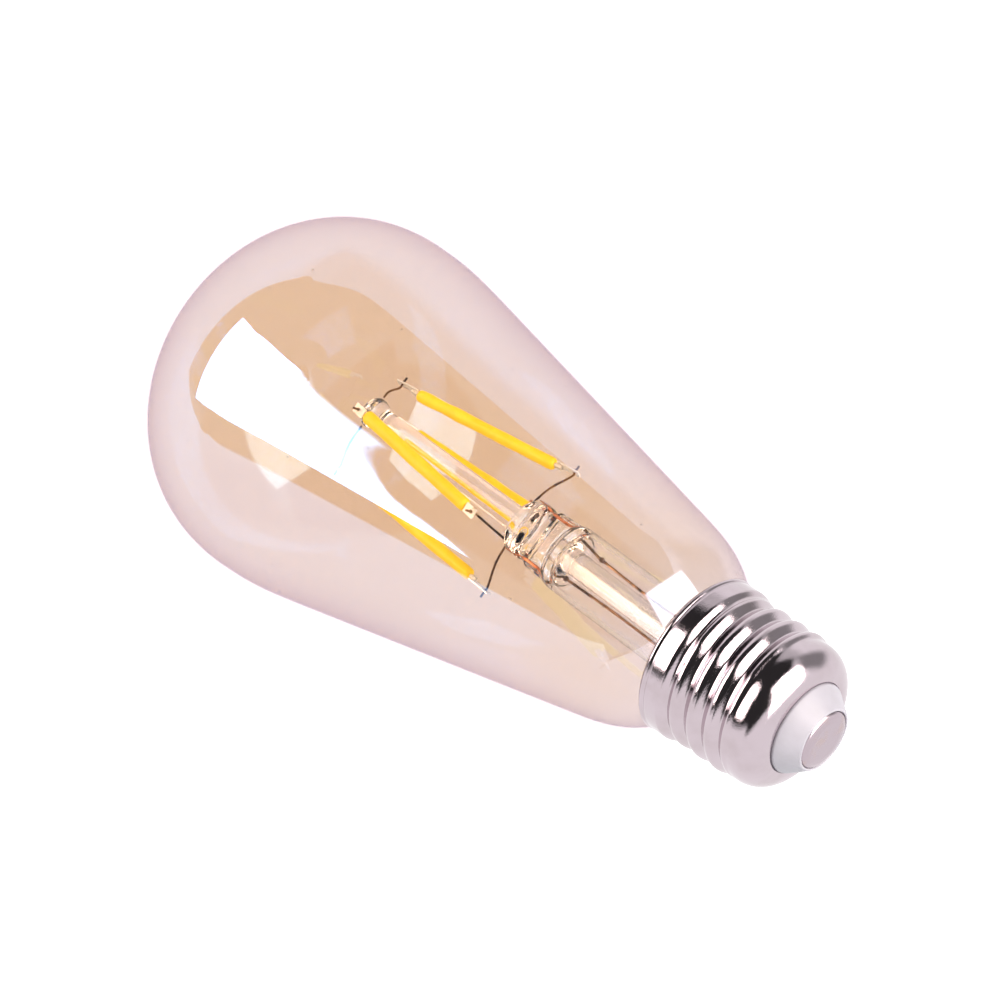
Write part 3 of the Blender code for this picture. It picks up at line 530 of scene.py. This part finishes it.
def one_wall_in(outline, wall):
    """The outline moved in by the wall, square to itself at each point."""
    inner = []
    for number, (radius, depth) in enumerate(outline):
        before, after = outline[max(0, number - 1)], outline[min(len(outline) - 1, number + 1)]
        run = Vector((after[0] - before[0], after[1] - before[1])).normalized()
        if radius < 1e-7:
            inner.append((0.0, depth - wall))
        else:
            inner.append((max(radius - run.y * wall, 1e-6), depth + run.x * wall))
    return inner


# %% [markdown]
# The glass is not one flat colour. It lets warm light through and mirrors cool light, as a thin
# metal-oxide coat does, so the same wall looks amber in front of something dark and pale lilac where it
# mirrors the white room. The coat is thinner at the neck. Towards the outline a ray runs a long way
# inside the wall, and the glass turns a greyish mauve. Each effect is a share between two shaders, and
# the colours stay constant. The room's light reaches the parts inside from all round with hardly any
# loss, so the bulb casts no shadow.

# %% The amber glass
NECK_TINT, COAT_TINT, EDGE_TINT = (0.895, 0.857, 0.865), (0.985, 0.875, 0.765), (0.80, 0.72, 0.80)
NECK_MIRROR, COAT_MIRROR, EDGE_MIRROR = (0.42, 0.42, 0.46), (0.20, 0.50, 0.98), (0.72, 0.62, 0.74)


def amber_glass():
    glass = new_finish("amber_coated_glass")
    facing = glass.node("ShaderNodeLayerWeight", {}, {"Blend": 0.5}).value("Facing")
    parts = glass.node("ShaderNodeSeparateXYZ", {}, {0: place_on(glass)})
    depth = 0 - parts.value("Z")
    coat = depth.between(20 * MM, 56 * MM) * (0.93 + cloud(glass, 45, 3) * 0.12)
    scuffs = specks(glass, 430, 0.10, 0.09) * cloud(glass, 60).between(0.45, 0.6)
    wall = layered(glass, coat, clear_tint(glass, NECK_TINT), clear_tint(glass, COAT_TINT))
    edge = (facing**8).between(0.15, 0.95)
    wall = layered(glass, edge, wall, clear_tint(glass, EDGE_TINT))
    ripple = cloud(glass, 38, 1) * 0.7 + cloud(glass, 160, 2) * 0.012
    mirror = principled(glass, {
        "Base Color": blend(glass, coat, NECK_MIRROR, COAT_MIRROR), "Metallic": 1.0, "Roughness": 0.01,
        "Specular Tint": (*EDGE_MIRROR, 1), "Normal": bump(glass, ripple, 0.35 * MM, 0.35),
    })
    shine = 0.14 + coat * 0.06 + (facing**5) * 0.22
    dust = principled(glass, {"Base Color": (0.30, 0.21, 0.16), "Roughness": 0.8})
    show_surface(glass, layered(glass, scuffs * 0.6, layered(glass, shine, wall, mirror), dust))


amber_glass()

# %% [markdown]
# The outer face and the inner face meet in a rounded rim at the neck, and join there into one closed
# wall. Steps are the number of points round a ring: the bulb's edge is a long smooth line, so it gets the
# most.

# %% Blow the bulb
BULB_STEPS = 256


def blow_bulb():
    outer = bulb_outline()
    inner = one_wall_in(outer, WALL_AS_SEEN)
    rim_radius = (outer[0][0] + inner[0][0]) / 2
    rim = [(rim_radius, neck_start - 0.1 * MM)]
    skin = turned_mesh("bulb_glass", [*rim, *outer], BULB_STEPS)
    hollow = turned_mesh("bulb_hollow", [*rim, *inner], BULB_STEPS, inside_out=True)
    joined = join_meshes("bulb_glass", [skin, hollow])
    bulb = add_piece("bulb_glass", joined, "amber_coated_glass", ["glass_envelope"])
    bulb.visible_diffuse = False
    bulb.visible_shadow = False
    return bulb


def join_meshes(name, meshes):
    shape = bmesh.new()
    for mesh in meshes:
        shape.from_mesh(mesh)
    bmesh.ops.remove_doubles(shape, verts=shape.verts, dist=1e-8)
    joined = bpy.data.meshes.new(name)
    shape.to_mesh(joined)
    shape.free()
    return joined


bulb = blow_bulb()
print("the bulb's glass has", len(bulb.data.polygons), "faces")

# %% [markdown]
# ## The screw cap
#
# The cap is a thin shell of nickel-plated metal. It is drawn into a cup, and the thread is rolled into it
# between two shaped wheels, so the thread is a smooth wave that fades out at both ends. The metal
# stretches over broad crests and folds into tighter roots, which a power of the wave gives. The skirt at
# the open end carries a small rolled bead that stiffens it.

# %% The cap's outline and its thread
PITCH, CREST, ROOT = 3.629 * MM, 13.1 * MM, 12.15 * MM
THREAD_START, THREAD_END, PHASE = 9.2 * MM, 22.8 * MM, 11.0 * MM
SHOULDER, SHOULDER_HEIGHT, BORDER = 4.2 * MM, 4.6 * MM, 8.0 * MM
SKIRT, SHELL_WALL = 13.55 * MM, 0.3 * MM


def shell_radius(depth):
    body = (CREST + ROOT) / 2
    if depth < SHOULDER + SHOULDER_HEIGHT:
        t = (SHOULDER + SHOULDER_HEIGHT - depth) / SHOULDER_HEIGHT
        return BORDER + (body - BORDER) * math.sqrt(max(0.0, 1 - t * t))
    return body + (SKIRT - body) * ease((depth - THREAD_END + PITCH / 3) / (PITCH / 2))


def bead(depth):
    """The rolled bead at the skirt's edge, with a shallow groove before it."""
    ring = math.exp(-(((depth - (cap_end - 0.5 * MM)) / (0.3 * MM)) ** 2))
    groove = math.exp(-(((depth - (cap_end - 1.05 * MM)) / (0.2 * MM)) ** 2))
    edge = ease((depth - (cap_end - 0.4 * MM)) / (0.4 * MM))
    return 0.12 * MM * ring - 0.10 * MM * groove - 0.30 * MM * edge


def thread_wave(depth, angle):
    window = ease((depth - THREAD_START) / (PITCH / 2)) * ease((THREAD_END - depth) / (PITCH / 2))
    turn = (depth - PHASE) / PITCH + (angle - math.pi) / (2 * math.pi)
    level = (1 + math.cos(2 * math.pi * turn)) / 2
    return (CREST - ROOT) / 2 * window * (2 * level**0.72 - 1)


# %% [markdown]
# Bright nickel mirrors the room almost perfectly, so its finish is in what disturbs the mirror. Plating
# leaves a fine grain, like the skin of an orange, that breaks up the edge between a black and a white
# reflection. Handling adds soft smudges of roughness and a few dark specks.

# %% The nickel plating
def nickel_plating():
    nickel = new_finish("bright_nickel")
    grain = cloud(nickel, 6500, 2) * 0.7 + cloud(nickel, 1500, 2) * 0.6
    smudge = cloud(nickel, 160, 3).between(0.35, 0.75)
    dirt = specks(nickel, 420, 0.13, 0.05)
    colour = blend(nickel, smudge, (0.56, 0.475, 0.515), (0.50, 0.42, 0.445))
    colour = blend(nickel, dirt * 0.75, colour, (0.16, 0.10, 0.08))
    show_surface(nickel, principled(nickel, {
        "Base Color": colour, "Metallic": 1.0,
        "Roughness": 0.05 + smudge * 0.06 + dirt * 0.3,
        "Normal": bump(nickel, grain, 0.03 * MM, 0.7),
    }))


nickel_plating()

# %% [markdown]
# The shell's outline is close rows of rings, so that every turn of the thread has enough of them to be
# round. The metal's thickness is laid inwards, and the outside keeps its exact size.

# %% Roll the cap
def roll_cap():
    depths = [SHOULDER + SHOULDER_HEIGHT * (1 - math.cos(math.pi / 2 * row / 26)) for row in range(26)]
    first, rows = SHOULDER + SHOULDER_HEIGHT, 190
    depths += [first + (cap_end - first) * row / rows for row in range(rows + 1)]
    outline = [(shell_radius(depth) + bead(depth), depth) for depth in depths]

    def threaded(radius, depth, angle, number):
        radius += thread_wave(depth, angle)
        return (radius * math.cos(angle), radius * math.sin(angle), -depth)

    mesh = turned_mesh("cap_shell", outline, 192, move=threaded)
    shell = add_piece("cap_shell", mesh, "bright_nickel", ["screw_shell"])
    wall = shell.modifiers.new("wall", "SOLIDIFY")
    wall.thickness = SHELL_WALL
    wall.offset = -1


roll_cap()
print("the thread has", round((THREAD_END - THREAD_START) / PITCH, 1), "turns")

# %% [markdown]
# ## The insulator and the contact
#
# Between the live contact and the shell sits a moulded white cone. The contact is a pressed disc with a
# soft edge, and the cone's rim stands round it. The disc is plated but matt, and it has the faint brown
# stains of solder flux that never quite come off.

# %% White plastic and contact metal
def white_plastic():
    plastic = new_finish("white_moulding")
    grain = cloud(plastic, 2600, 3)
    tone = cloud(plastic, 300, 2).between(0.3, 0.7)
    colour = blend(plastic, tone, (0.325, 0.32, 0.36), (0.305, 0.30, 0.335))
    colour = blend(plastic, specks(plastic, 700, 0.12, 0.04) * 0.5, colour, (0.35, 0.28, 0.24))
    show_surface(plastic, principled(plastic, {
        "Base Color": colour, "Roughness": 0.38 + grain * 0.14,
        "Subsurface Weight": 0.12, "Subsurface Radius": (0.6 * MM, 0.6 * MM, 0.8 * MM),
        "Subsurface Scale": 1.0, "Normal": bump(plastic, grain, 0.012 * MM, 0.5),
    }))


def contact_metal():
    metal = new_finish("satin_contact")
    stain = cloud(metal, 260, 4).between(0.5, 0.78)
    grain = cloud(metal, 500, 2, stretch=(1, 0.3, 1))
    colour = blend(metal, stain, (0.475, 0.395, 0.435), (0.49, 0.37, 0.35))
    show_surface(metal, principled(metal, {
        "Base Color": colour, "Metallic": 1.0, "Roughness": 0.2 + stain * 0.14 + grain * 0.06,
        "Normal": bump(metal, grain, 0.004 * MM, 0.15),
    }))


white_plastic()
contact_metal()

# %% [markdown]
# Both are turned from outlines given in millimetres. The insulator's outline closes on itself, because it
# is a ring with a hole for the contact's pin. The pin is hollow, and the lead is soldered into it.

# %% Mould the insulator and press the contact
def mould_insulator():
    corners = [
        (1.2, 0.95), (5.12, 0.95), (5.12, 0.46), (5.5, 0.44), (7.95, 3.9), (7.9, 4.8), (10.2, 5.3),
        (10.2, 6.4), (7.1, 6.4), (4.2, 2.55), (1.2, 2.55),
    ]
    outline = softened([(r * MM, d * MM) for r, d in corners], 0.1 * MM, 3)
    mesh = turned_mesh("insulator_cone", outline, 128, closed=True, inside_out=True)
    return add_piece("insulator_cone", mesh, "white_moulding", ["insulator"])


def press_contact():
    corners = [
        (0, 0.02), (1.5, 0.005), (3.3, 0.0), (4.1, 0.1), (4.75, 0.34), (5.03, 0.62), (5.03, 0.9),
        (1.1, 0.9), (1.1, 6.6), (0.55, 6.6), (0.55, 3.4), (0, 3.4),
    ]
    outline = softened([(r * MM, d * MM) for r, d in corners], 0.08 * MM, 2)
    mesh = turned_mesh("contact_disc", outline, 128)
    return add_piece("contact_disc", mesh, "satin_contact", ["centre_contact"])


mould_insulator()
press_contact()

# %% [markdown]
# ## The glass stem
#
# On the bench the stem starts as four pieces of glass: a flared tube, a thin exhaust tube inside it, and
# a rod with a bead. A flame fuses them, and a pair of jaws squeezes the joint flat round the two leads.
# After that it is one piece of glass with no surfaces inside, and light passes as if it had always been
# one. So the finished skin is a single outline: up the exhaust tube, round the top of the hollow, down
# inside the flare, round its rim, and back along the outside to the bead.

# %% The stem's outline
FLARE_RIM, FLARE_LENGTH, TUBE, TUBE_WALL = 19.6 * MM, 13.4 * MM, 5.75 * MM, 0.9 * MM
RIM_RADIUS = 9.1 * MM
EXHAUST, EXHAUST_BORE, EXHAUST_TIP = 2.1 * MM, 1.3 * MM, 26.5 * MM
HOLLOW_TOP = 55.4 * MM
PRESS, PRESS_FLATNESS = 5.2 * MM, 0.58
COLLAR, COLLAR_START, COLLAR_END = 4.92 * MM, 62.6 * MM, 66.4 * MM
BUTTON_START, BUTTON_END = 100.3 * MM, 103.3 * MM
FLARE_STEPS = (0, 0.1, 0.25, 0.4, 0.6, 0.8, 1)


def flare_radius(t):
    return RIM_RADIUS + (TUBE - RIM_RADIUS) * (1 - (1 - t) ** 2.2)


def stem_inside():
    """Up the exhaust tube, over the top of the hollow and down the flare's inner wall."""
    tip = [(0, EXHAUST_TIP), (0.6 * EXHAUST, EXHAUST_TIP + 0.35 * MM), (EXHAUST, EXHAUST_TIP + 2.4 * MM)]
    top = [(EXHAUST, HOLLOW_TOP - 0.6 * MM), (0.5 * (EXHAUST + TUBE - TUBE_WALL), HOLLOW_TOP)]
    top.append((TUBE - TUBE_WALL, HOLLOW_TOP - 0.9 * MM))
    down = [(flare_radius(t) - TUBE_WALL, FLARE_RIM + FLARE_LENGTH * t) for t in reversed(FLARE_STEPS)]
    return [*tip, *top, *down]


def stem_outside():
    up = [(flare_radius(t), FLARE_RIM + FLARE_LENGTH * t) for t in FLARE_STEPS]
    press = [(TUBE, 55.6 * MM), (PRESS + 0.15 * MM, 57.4 * MM), (PRESS, 61.4 * MM)]
    press.append((PRESS - 0.75 * MM, COLLAR_START))
    collar = [(COLLAR, COLLAR_START + 0.7 * MM), (COLLAR, COLLAR_END - 0.7 * MM)]
    collar.append((COLLAR - 0.8 * MM, COLLAR_END))
    rod = [(2.4 * MM, COLLAR_END + 0.1 * MM), (2.15 * MM, COLLAR_END + 0.9 * MM)]
    rod.append((1.8 * MM, BUTTON_START - 0.6 * MM))
    ribs = [(2.25, 100.35), (2.5, 100.6), (2.42, 100.85), (2.68, 101.15), (2.58, 101.4)]
    ribs += [(2.72, 101.75), (2.6, 102.1), (2.45, 102.5), (1.7, 103.05)]
    button = [*[(r * MM, d * MM) for r, d in ribs], (0.8 * MM, BUTTON_END), (0, BUTTON_END)]
    return [*up, *press, *collar, *rod, *button]


# %% [markdown]
# The jaws flatten the stem from front to back only over the press, so a point there is squeezed in Y by a
# share that fades in and out along the stem. The hollow ends just before it.

# %% Draw the stem
def squeeze(depth):
    """How wide the stem is from front to back, as a share of its width from side to side."""
    pressed = ease((depth - 55.6 * MM) / (2.6 * MM)) * ease((63.4 * MM - depth) / (2.0 * MM))
    return 1 - (1 - PRESS_FLATNESS) * pressed


def draw_stem():
    inside = softened(stem_inside(), 0.25 * MM, 3)
    outside = softened(stem_outside(), 0.16 * MM, 2)
    skin_from = len(inside)

    def pressed(radius, depth, angle, number):
        flat = squeeze(depth) if number >= skin_from else 1.0
        return (radius * math.cos(angle), radius * math.sin(angle) * flat, cap_end - depth)

    skin = turned_mesh("stem_skin", [*inside, *outside], 96, move=pressed, matrix=STEM)
    bore_ends = (EXHAUST_TIP + 2.2 * MM, 58.6 * MM)
    bore = [(0, bore_ends[0]), (0.8 * MM, bore_ends[0] + 0.3 * MM), (EXHAUST_BORE, bore_ends[0] + 1.2 * MM)]
    bore += [(EXHAUST_BORE, bore_ends[1] - 1 * MM), (0.8 * MM, bore_ends[1] - 0.2 * MM), (0, bore_ends[1])]

    def straight(radius, depth, angle, number):
        return (radius * math.cos(angle), radius * math.sin(angle), cap_end - depth)

    hollow = turned_mesh("stem_bore", softened(bore, 0.3 * MM, 2), 48, move=straight, matrix=STEM)
    return join_meshes("stem_glass", [skin, hollow])


# %% [markdown]
# Lead-in glass is clear with hardly any tint, and it bends light. Its shape does the rest: the dark and
# bright lines in a glass rod are the room, squeezed by the curve.

# %% The clear glass
def clear_glass():
    glass = new_finish("clear_stem_glass")
    swirl = cloud(glass, 420, 2, stretch=(1, 1, 0.15))
    show_surface(glass, principled(glass, {
        "Base Color": (0.99, 0.99, 0.985), "Transmission Weight": 1.0, "IOR": 1.5, "Roughness": 0.0,
        "Normal": bump(glass, swirl, 0.05 * MM, 0.25),
    }))


clear_glass()
STEM_NODES = ["stem_flare_tube", "stem_press", "stem_collar", "stem_rod", "rod_button", "exhaust_tube"]
stem = add_piece("stem_glass", draw_stem(), "clear_stem_glass", STEM_NODES)
print("the stem's skin has", len(stem.data.polygons), "faces")

# %% [markdown]
# ## The filaments
#
# Each filament is a strip of ceramic with a row of tiny blue LEDs, covered all round in silicone that is
# loaded with yellow phosphor. The silicone is squeezed on by hand or by a simple machine: it is never
# quite straight, its ends are thin and let light through, and it picks up a faint sheen. The phosphor
# turns some of the blue in white light into yellow, so it looks brighter than paint would. A little
# emission, a painted glow that the silicone gives off whatever the light, stands for that.

# %% Phosphor silicone and the parts at its ends
def phosphor_silicone():
    silicone = new_finish("phosphor_silicone")
    drift = cloud(silicone, 330, 3)
    grain = cloud(silicone, 4200, 2)
    colour = blend(silicone, drift.between(0.3, 0.7), (0.93, 0.56, 0.012), (0.97, 0.64, 0.03))
    # The emission is a painted glow: the silicone shines with a little light of its own.
    show_surface(silicone, principled(silicone, {
        "Base Color": colour, "Roughness": 0.42 + grain * 0.15,
        "Emission Color": (1.0, 0.90, 0.02, 1), "Emission Strength": 0.3,
        "Subsurface Weight": 0.25, "Subsurface Radius": (0.9 * MM, 0.45 * MM, 0.08 * MM),
        "Subsurface Scale": 1.0, "Normal": bump(silicone, drift * 0.8 + grain * 0.1, 0.08 * MM, 0.5),
    }))


def ceramic_strip():
    ceramic = new_finish("ceramic_strip")
    grain = cloud(ceramic, 3500, 3)
    colour = blend(ceramic, grain.between(0.3, 0.7), (0.80, 0.78, 0.72), (0.70, 0.66, 0.58))
    show_surface(ceramic, principled(ceramic, {
        "Base Color": colour, "Roughness": 0.35 + grain * 0.2,
        "Normal": bump(ceramic, grain, 0.01 * MM, 0.5),
    }))


def tinned_tab():
    tab = new_finish("tinned_tab")
    brushed = cloud(tab, 2500, 3, stretch=(1, 1, 0.15))
    stain = cloud(tab, 700, 2).between(0.55, 0.75)
    colour = blend(tab, stain, (0.98, 0.95, 0.89), (0.68, 0.58, 0.47))
    show_surface(tab, principled(tab, {
        "Base Color": colour, "Metallic": 0.35, "Roughness": 0.22 + brushed * 0.16,
        "Normal": bump(tab, brushed, 0.012 * MM, 0.5),
    }))


phosphor_silicone()
ceramic_strip()
tinned_tab()

# %% [markdown]
# A sleeve follows its own strip, so it leans as the strip does. Its lumps are a few slow waves added up,
# with a fixed seed for each side, so no two sleeves are alike and each comes out the same in every run.

# %% Squeeze the silicone on
SIDES = ("front", "right", "back", "left")
SLEEVE_RADIUS = 1.1 * MM
SLEEVE_END = ((0.0, 0.0), (0.35, 0.0), (0.66, 0.03), (0.88, 0.14))


def sleeve_lumps(seed):
    """How far the silicone stands out along its length, as a smooth random line."""
    chance = np.random.default_rng(seed)
    limits = ((0.6, 2.6), (0, 6.28), (0.3, 1.0))
    waves = [[chance.uniform(low, high) for low, high in limits] for _ in range(5)]

    def lumps(at):
        return 0.022 * MM * sum(size * math.sin(rate * at / (2 * MM) + start) for rate, start, size in waves)

    return lumps


def squeeze_sleeve(side, seed):
    centre, (along, wide, _), _ = own_axes(f"{side}_filament_strip")
    length = own_axes(f"{side}_filament_phosphor")[2][0]
    if along.z < 0:
        along = -along
    turn = Matrix((wide, along.cross(wide), along)).transposed().to_4x4()
    lumps = sleeve_lumps(seed)
    rows = 90
    half = length / 2
    outline = [(radius * MM, -half + step * MM) for radius, step in SLEEVE_END]
    for row in range(rows + 1):
        at = -half + 0.4 * MM + (length - 0.8 * MM) * row / rows
        ends = min(ease((half - abs(at)) / (1.6 * MM)) + 0.35, 1.0)
        outline.append((SLEEVE_RADIUS * (0.93 + 0.07 * ends) + lumps(at) * ends, at))
    outline += [(radius * MM, half - step * MM) for radius, step in reversed(SLEEVE_END)]

    def oval(radius, at, angle, number):
        return (radius * 1.04 * math.cos(angle), radius * 0.94 * math.sin(angle), at)

    place = Matrix.Translation(centre) @ turn
    mesh = turned_mesh(f"{side}_silicone", outline, 32, move=oval, matrix=place, inside_out=True)
    replaced = [f"{side}_filament_phosphor"]
    return add_piece(f"{side}_silicone", mesh, "phosphor_silicone", replaced)


for seed, side in enumerate(SIDES):
    squeeze_sleeve(side, seed + 3)

# %% [markdown]
# ## Finishes for the parts that keep their shape
#
# The tabs, wires and leads, and everything on the circuit board, are drawn finely enough already. They
# keep their solids and get a finish each. A wire that has been near a flame is dark with oxide where it
# was hot and still bright where it was not, so its colour wanders along it.

# %% Wires and leads
def dress(nodes, finish):
    for node in nodes:
        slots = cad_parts[node].material_slots
        for slot in slots:
            slot.material = FINISHES[finish]


def wire_finish(name, bright, dark, low, high):
    wire = new_finish(name)
    burnt = cloud(wire, 260, 3).between(low, high)
    grain = cloud(wire, 5000, 2)
    show_surface(wire, principled(wire, {
        "Base Color": blend(wire, burnt, bright, dark), "Metallic": 0.9, "Roughness": 0.28 + burnt * 0.3,
        "Normal": bump(wire, grain, 0.01 * MM, 0.5),
    }))


wire_finish("oxidised_wire", (0.40, 0.24, 0.13), (0.10, 0.07, 0.055), 0.40, 0.58)
wire_finish("sealed_copper", (0.85, 0.34, 0.17), (0.55, 0.16, 0.08), 0.45, 0.75)
wire_finish("copper_lead", (0.62, 0.33, 0.17), (0.14, 0.08, 0.06), 0.42, 0.6)

dress([f"{side}_filament_strip" for side in SIDES], "ceramic_strip")
dress([f"{side}_{end}_tab" for side in SIDES for end in ("top", "bottom")], "tinned_tab")
dress([f"{side}_{end}_wire" for side in SIDES for end in ("upper", "lower")], "oxidised_wire")
dress(["left_inner_lead", "right_inner_lead", "left_weld_knot", "right_weld_knot"], "oxidised_wire")
dress(["left_sealed_lead", "right_sealed_lead"], "sealed_copper")
dress(["left_outer_lead", "right_outer_lead", "antenna"], "copper_lead")
dress(["left_output_terminal", "right_output_terminal"], "tinned_tab")

# %% [markdown]
# Inside the cap is the driver: a small green board with a capacitor, a coil, a resistor and a rectifier
# on it, a shielded radio module, and a sleeve of film that keeps it all off the shell. It is hidden on a
# finished lamp, and is still dressed as what it is.

# %% The driver
def plain_part(name, first, second, roughness, scale, metallic=0.0, height=0.02, stretch=(1, 1, 1)):
    """Two tones of one colour in a soft pattern, with a little relief from the same pattern."""
    part = new_finish(name)
    pattern = cloud(part, scale, 3, stretch)
    show_surface(part, principled(part, {
        "Base Color": blend(part, pattern.between(0.35, 0.65), first, second), "Metallic": metallic,
        "Roughness": roughness + pattern * 0.15, "Normal": bump(part, pattern, height * MM, 0.5),
    }))


plain_part("solder_mask", (0.02, 0.16, 0.06), (0.04, 0.24, 0.10), 0.30, 900)
plain_part("moulded_epoxy", (0.020, 0.020, 0.022), (0.045, 0.045, 0.048), 0.50, 3500)
plain_part("shield_can", (0.70, 0.69, 0.66), (0.58, 0.56, 0.53), 0.25, 2200, 1.0, 0.01, (1, 1, 0.2))
plain_part("shrink_sleeve", (0.03, 0.04, 0.10), (0.05, 0.06, 0.14), 0.28, 500)
plain_part("ferrite_core", (0.07, 0.065, 0.065), (0.12, 0.11, 0.10), 0.65, 2400, 0.0, 0.04)
plain_part("resistor_lacquer", (0.16, 0.33, 0.44), (0.24, 0.44, 0.54), 0.40, 1200)
plain_part("live_insulation", (0.58, 0.04, 0.03), (0.48, 0.03, 0.02), 0.38, 1500)
plain_part("neutral_insulation", (0.035, 0.035, 0.035), (0.06, 0.06, 0.06), 0.38, 1500)
plain_part("film_sleeve", (0.72, 0.69, 0.58), (0.62, 0.59, 0.48), 0.30, 600, 0.0, 0.03, (1, 1, 0.3))
plain_part("basing_cement", (0.66, 0.61, 0.50), (0.50, 0.45, 0.36), 0.80, 1600, 0.0, 0.12)

dress(["driver_board"], "solder_mask")
dress(["bridge_rectifier", "driver_ic"], "moulded_epoxy")
dress(["wireless_module"], "shield_can")
dress(["input_capacitor"], "shrink_sleeve")
dress(["inductor"], "ferrite_core")
dress(["fusible_resistor"], "resistor_lacquer")
dress(["live_wire"], "live_insulation")
dress(["neutral_wire"], "neutral_insulation")
dress(["driver_sleeve"], "film_sleeve")
dress(["basing_cement"], "basing_cement")
print("finishes made:", len(FINISHES))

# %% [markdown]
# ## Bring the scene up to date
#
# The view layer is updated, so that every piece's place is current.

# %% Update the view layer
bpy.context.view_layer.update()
